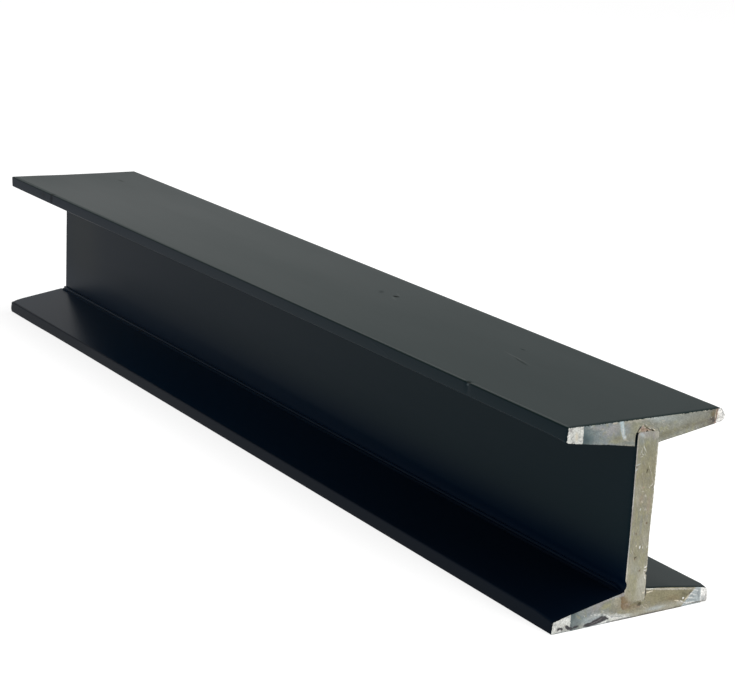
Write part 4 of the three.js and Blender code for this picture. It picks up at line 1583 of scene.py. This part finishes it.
# (place along, how far the left edge of the bar is out of straight), in millimetres
BOW = {
    "top_flange": [
        (-330, -1.0), (-270, -1.0), (-195, -0.5), (-120, -0.2), (-80, 0.0), (0, 0.3), (100, 0.5), (180, 0.45),
        (255, 0.2), (290, 0.16), (316, 0.12), (330, 0.1),
    ],
    "bottom_flange": [
        (-330, -0.9), (-290, -0.8), (-255, -0.3), (-215, -0.12), (-110, -0.13), (0, -0.2), (100, -0.27),
        (200, -0.33), (290, -0.35), (316, -0.35), (330, -0.25),
    ],
}
# (place along, how much further out the tip's lower corner leans than its upper one), in millimetres
LEAN = {
    "top_flange": [(255, 0.0), (290, -0.18), (316, -0.35), (330, -0.6)],
    "bottom_flange": [(50, 0.0), (200, -0.10), (290, -0.32), (330, -0.5)],
}


def bow_left_edge(shape, node):
    for place, _ in BOW[node][1:-1]:
        cut_plane(shape, 0, place * MM)
    foot = DEPTH - TIP_THICKNESS if node == "top_flange" else 0.0
    for corner in shape.verts:
        share = (-corner.co.y - BOW_BEGINS) / (HALF_WIDTH - BOW_BEGINS)
        if share > 0:
            along = corner.co.x / MM
            low = held(1 - (corner.co.z - foot) / TIP_THICKNESS)
            out = read_off(BOW[node], along) + read_off(LEAN[node], along) * low * share
            corner.co.y += out * MM * share


# %% [markdown]
# The tips are worn at both ends: ground back on the right at the near end, and rounded on the left at the
# far end. The far end wasn't sawn quite square either, so the pieces differ there by a few millimetres.

# %% Worn tips and the far end
WEAR_BEGINS = 41.0
WEAR_REACH = 6.0
# (distance in from the outer face, how far the right tip is ground back), in millimetres
WEAR = {
    "top_flange": [(0.0, 0.2), (1.2, 0.9), (2.7, 0.9), (4.2, 0.55), (5.2, 0.65), (6.5, 0.9), (8.0, 0.3)],
    "bottom_flange": [(0.3, 0.3), (2.0, 0.8), (3.5, 0.9), (5.5, 1.3), (7.0, 1.5)],
}
CORNER_BEGINS = 44.5
CORNER_REACH = 3.0
# (distance in from the outer face, how far the far corner of the left tip is worn back), in millimetres
CORNER_WEAR = {
    "top_flange": [(0, 0.1), (2, 0.4), (5, 0.7), (7, 1.2)],
    "bottom_flange": [(0, 1.5), (1.2, 0.6), (2.4, 0.0), (3.6, 0.2), (4.8, 0.6), (6.0, 0.95), (7.2, 1.1)],
}
# (place across, how much shorter the far end was sawn), in millimetres
SHORTER = {
    "top_flange": [(-48, 0.0), (-30, 0.5), (-10, 2.0), (48, 2.5)],
    "bottom_flange": [(-48, -1.4), (-40, -2.8), (-8, -3.6), (8, -1.0), (48, 0.0)],
    "web_plate": [(-7, 1.0), (7, 1.0)],
}


def wear_tip(shape, node):
    for corner in corners_beyond(shape, 1, COLLAR):
        share = eased(held((corner.co.y / MM - WEAR_BEGINS) / WEAR_REACH))
        worn = read_off(WEAR[node], distance_in(corner, node) / MM)
        corner.co.y -= worn * MM * share * end_fade(corner)


def wear_far_corner(shape, node):
    for corner in corners_beyond(shape, -1, COLLAR):
        share = held((-corner.co.y / MM - CORNER_BEGINS) / CORNER_REACH)
        worn = read_off(CORNER_WEAR[node], distance_in(corner, node) / MM)
        corner.co.x += worn * MM * share * end_fade(corner, -1)


def saw_far_end(shape, node):
    for corner in corners_beyond(shape, -1, COLLAR):
        corner.co.x += read_off(SHORTER[node], corner.co.y / MM) * MM


# %% [markdown]
# The order of the steps matters. The bevel wants clean whole edges, so it comes before the grid. The
# finishes are chosen while the ends are still flat, and only then are the marks pressed in.

# %% Make the flange bars
# lengthwise cuts: beside both arrises, to keep the tilt of their rounding out of the wide flat faces, and
# where the weld's pull eases
HOLDING_CUTS = (-HALF_WIDTH + 1.3 * MM, (2 * PULL_EASES - 1) * HALF_WIDTH, HALF_WIDTH - 5.6 * MM)


def flange_bar(node):
    shape = packed_copy(node)
    if node == "top_flange":
        change_round(shape)
        knock_arris(shape)
    ease_sawn_edges(shape, on_a_flange)
    for place in HOLDING_CUTS:
        cut_plane(shape, 1, place)
    cut_collar(shape, 1, NEAR_CELL)
    cut_collar(shape, -1, FAR_CELL)
    wear_tip(shape, node)
    bow_left_edge(shape, node)
    roll_thinner(shape, node)
    pull_by_welds(shape)
    choose_finishes(shape, PAINTED_RIM)
    press_ends(shape, node)
    wear_far_corner(shape, node)
    saw_far_end(shape, node)
    finish_piece(node, shape, NEAR_ENDS[node], FAR_FLANGE_END)


flange_bar("bottom_flange")
flange_bar("top_flange")

# %% [markdown]
# ## The web plate
# It is a flat plate on edge. Its sawn edges are a little wavy near the end, and weld heat has eaten a
# shallow bite out of the lower left one, just above the bottom flange. A ragged texture couldn't change the
# outline, so the corners of the collar are moved.

# %% The web's wavy edges
WEB_CLEAR = 14.5 * MM
WEB_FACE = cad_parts["web_plate"].dimensions.y / 2
EDGE_WAVE = 0.10
EDGE_GRAIN = 0.5
EDGE_SEED = 9
SIDE_REACH = 3.0 * MM
BITE_HEIGHT = 17.4
BITE_REACH = 2.4
BITE_DEPTH = 1.0
# (height, how far out of true): the plate's two sides at the near end, in millimetres
LEFT_SIDE = [(14, 0.0), (30, -0.10), (45, -0.26), (62, -0.26), (75, -0.12), (90, 0.0)]
RIGHT_SIDE = [
    (9.0, 0.28), (13.5, 0.15), (17.0, 0.20), (20.5, 0.10), (22.0, -0.35), (23.5, 0.15), (31.0, 0.0),
    (40.0, -0.28), (48.0, -0.15), (53.0, 0.0), (59.0, 0.20), (64.5, 0.25), (66.0, 0.0), (68.0, 0.35),
    (75.0, 0.30), (79.0, 0.34), (86.0, 0.30), (88.5, 0.28), (97.0, 0.28),
]


def on_the_web(middle):
    return WEB_CLEAR < middle.z < DEPTH - WEB_CLEAR


def edge_wave(side, up):
    return EDGE_WAVE * noise.noise(Vector((side * EDGE_SEED, 0, up * EDGE_GRAIN)))


def wave_web_edges(shape):
    """Moves the sides of the plate in and out near the end. The left one stands clear of its groove."""
    for corner in corners_beyond(shape, 1, COLLAR):
        up = corner.co.z / MM
        share = end_fade(corner) * held(1 - (WEB_FACE - abs(corner.co.y)) / SIDE_REACH)
        if corner.co.y > 0:
            corner.co.y += share * (read_off(RIGHT_SIDE, up) + edge_wave(1, up)) * MM
        elif on_the_web(corner.co):
            bite = BITE_DEPTH * max(0.0, 1 - ((up - BITE_HEIGHT) / BITE_REACH) ** 2)
            corner.co.y += share * (bite - read_off(LEFT_SIDE, up) - edge_wave(-1, up)) * MM


# %% [markdown]
# At the near end the plate stands a little further into its upper groove, and the weld metal there gives
# way. The head could be moved as a whole, but then the far end would move too. So the lift fades behind the
# end.

# %% The web's head
HEAD_BEGINS = 90.0 * MM
HEAD_LIFT_LEFT = 1.5 * MM
HEAD_LIFT_RIGHT = 1.0 * MM
WEB_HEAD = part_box("web_plate")[1].z
ARCH_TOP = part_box("top_root_weld")[1].z


def lift_head(shape, head, top):
    """`head` is where the lift is whole, and `top` is where it is gone again."""
    for corner in corners_beyond(shape, 1, COLLAR):
        below = (corner.co.z - HEAD_BEGINS) / (head - HEAD_BEGINS)
        above = (top - corner.co.z) / (top - head)
        lean = (corner.co.y + WEB_FACE) / (2 * WEB_FACE)
        lift = HEAD_LIFT_LEFT + (HEAD_LIFT_RIGHT - HEAD_LIFT_LEFT) * lean
        corner.co.z += held(min(below, above)) * lift * end_fade(corner)


# %% [markdown]
# The plate goes through the same steps as a bar. Its finish reaches right out to the edge, because the saw
# left no paint on the bevel.

# %% Make the web plate
web = packed_copy("web_plate")
ease_sawn_edges(web, on_the_web)
cut_collar(web, 1, NEAR_CELL)
cut_collar(web, -1, FAR_CELL)
wave_web_edges(web)
lift_head(web, WEB_HEAD, WEB_HEAD + MM)
pull_by_welds(web)
choose_finishes(web, BARE_RIM)
press_ends(web, "web_plate")
saw_far_end(web, "web_plate")
finish_piece("web_plate", web, NEAR_ENDS["web_plate"], FAR_WEB_END)

# %% [markdown]
# ## The welds
# Weld metal runs the whole length of both grooves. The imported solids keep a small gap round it, and here it
# is grown to close that gap, as real weld metal is one with what it joins. Solidify would thicken the ends
# as well, so each corner is moved outwards across the beam only.

# %% Grow the weld metal
WELD_GROWTH = 0.42 * MM
FACES_SIDEWAYS = 0.5
LEAST_LEAN = 0.5


def grow_outwards(shape, distance):
    """Moves every side of a long bar outwards and leaves its ends where they are."""
    bmesh.ops.recalc_face_normals(shape, faces=shape.faces)
    moves = []
    for corner in shape.verts:
        sides = [face.normal for face in corner.link_faces if abs(face.normal.x) < FACES_SIDEWAYS]
        way = sum(sides, Vector((0, 0, 0)))
        way.normalize()
        lean = sum(way.dot(normal) for normal in sides) / len(sides)
        moves.append((corner, way * distance / max(LEAST_LEAN, lean)))
    for corner, move in moves:
        corner.co += move


# %% [markdown]
# The bead that shows along the root of the bottom flange has the fine ripples that each pass of the torch
# leaves, under the paint. They could be bump, but the bead's outline shows against the flange, so rings are
# cut all along it and moved. Over the last few millimetres at the near end the bead is ground down.

# %% The bead
RIPPLE_STEP = 2.5 * MM
RIPPLE = 0.10
RIPPLE_UNEVEN = 0.8
RIPPLE_GRAIN = 0.4
RIPPLE_SHARE = 0.5
BEAD_CLEAR = 1.0 * MM
BEAD_GROUND = 0.96
BEAD_STEP = 0.1 * MM


def cut_ripples(shape, step):
    """Rings along the whole piece, so that its bead can be rippled."""
    count = round(2 * (HALF_LENGTH - COLLAR) / step)
    for index in range(count + 1):
        cut_plane(shape, 0, -HALF_LENGTH + COLLAR + index * step)


def ripple_bead(shape):
    """Swells and pinches the bead that stands clear of both the web and the flange."""
    for corner in shape.verts:
        clear = corner.co.y < -WEB_FACE - BEAD_CLEAR and corner.co.z > WEB_CLEAR - BEAD_CLEAR
        if clear and not at_an_end(corner):
            place = Vector((corner.co.x / MM, 0, 0))
            uneven = RIPPLE_UNEVEN * noise.noise(place * RIPPLE_GRAIN)
            wave = math.cos(math.pi * place.x / (RIPPLE_STEP / MM)) + uneven
            corner.co.y -= RIPPLE * wave * MM * RIPPLE_SHARE
            corner.co.z += RIPPLE * wave * MM * RIPPLE_SHARE


def grind_bead_end(shape):
    for corner in corners_beyond(shape, 1, COLLAR):
        above = corner.co.z - drawn_thickness(corner.co.y) - BEAD_STEP
        if above > 0:
            corner.co.z -= above * BEAD_GROUND * end_fade(corner)


# %% [markdown]
# Two pieces of weld metal remain: one with a bead along the foot of the web, and one in the round bottom of
# the upper groove. At the near end both are cut to a finer grid than the plate, because their ends are
# small.

# %% Make the welds
WELD_CELL = 0.4 * MM
BEAD_UNEVEN = 0.04
ARCH_UNEVEN = 0.22


def weld(node, has_bead, uneven):
    shape = packed_copy(node)
    grow_outwards(shape, WELD_GROWTH)
    if has_bead:
        cut_ripples(shape, RIPPLE_STEP)
        ripple_bead(shape)
    cut_collar(shape, 1, WELD_CELL)
    cut_collar(shape, -1, FAR_CELL)
    if has_bead:
        grind_bead_end(shape)
    else:
        lift_head(shape, WEB_HEAD, ARCH_TOP)
    pull_by_welds(shape)
    choose_finishes(shape, BARE_RIM)
    press_ends(shape, node, uneven)
    finish_piece(node, shape, NEAR_ENDS[node], FAR_WELD_END)


weld("bottom_root_weld", True, BEAD_UNEVEN)
weld("top_root_weld", False, ARCH_UNEVEN)
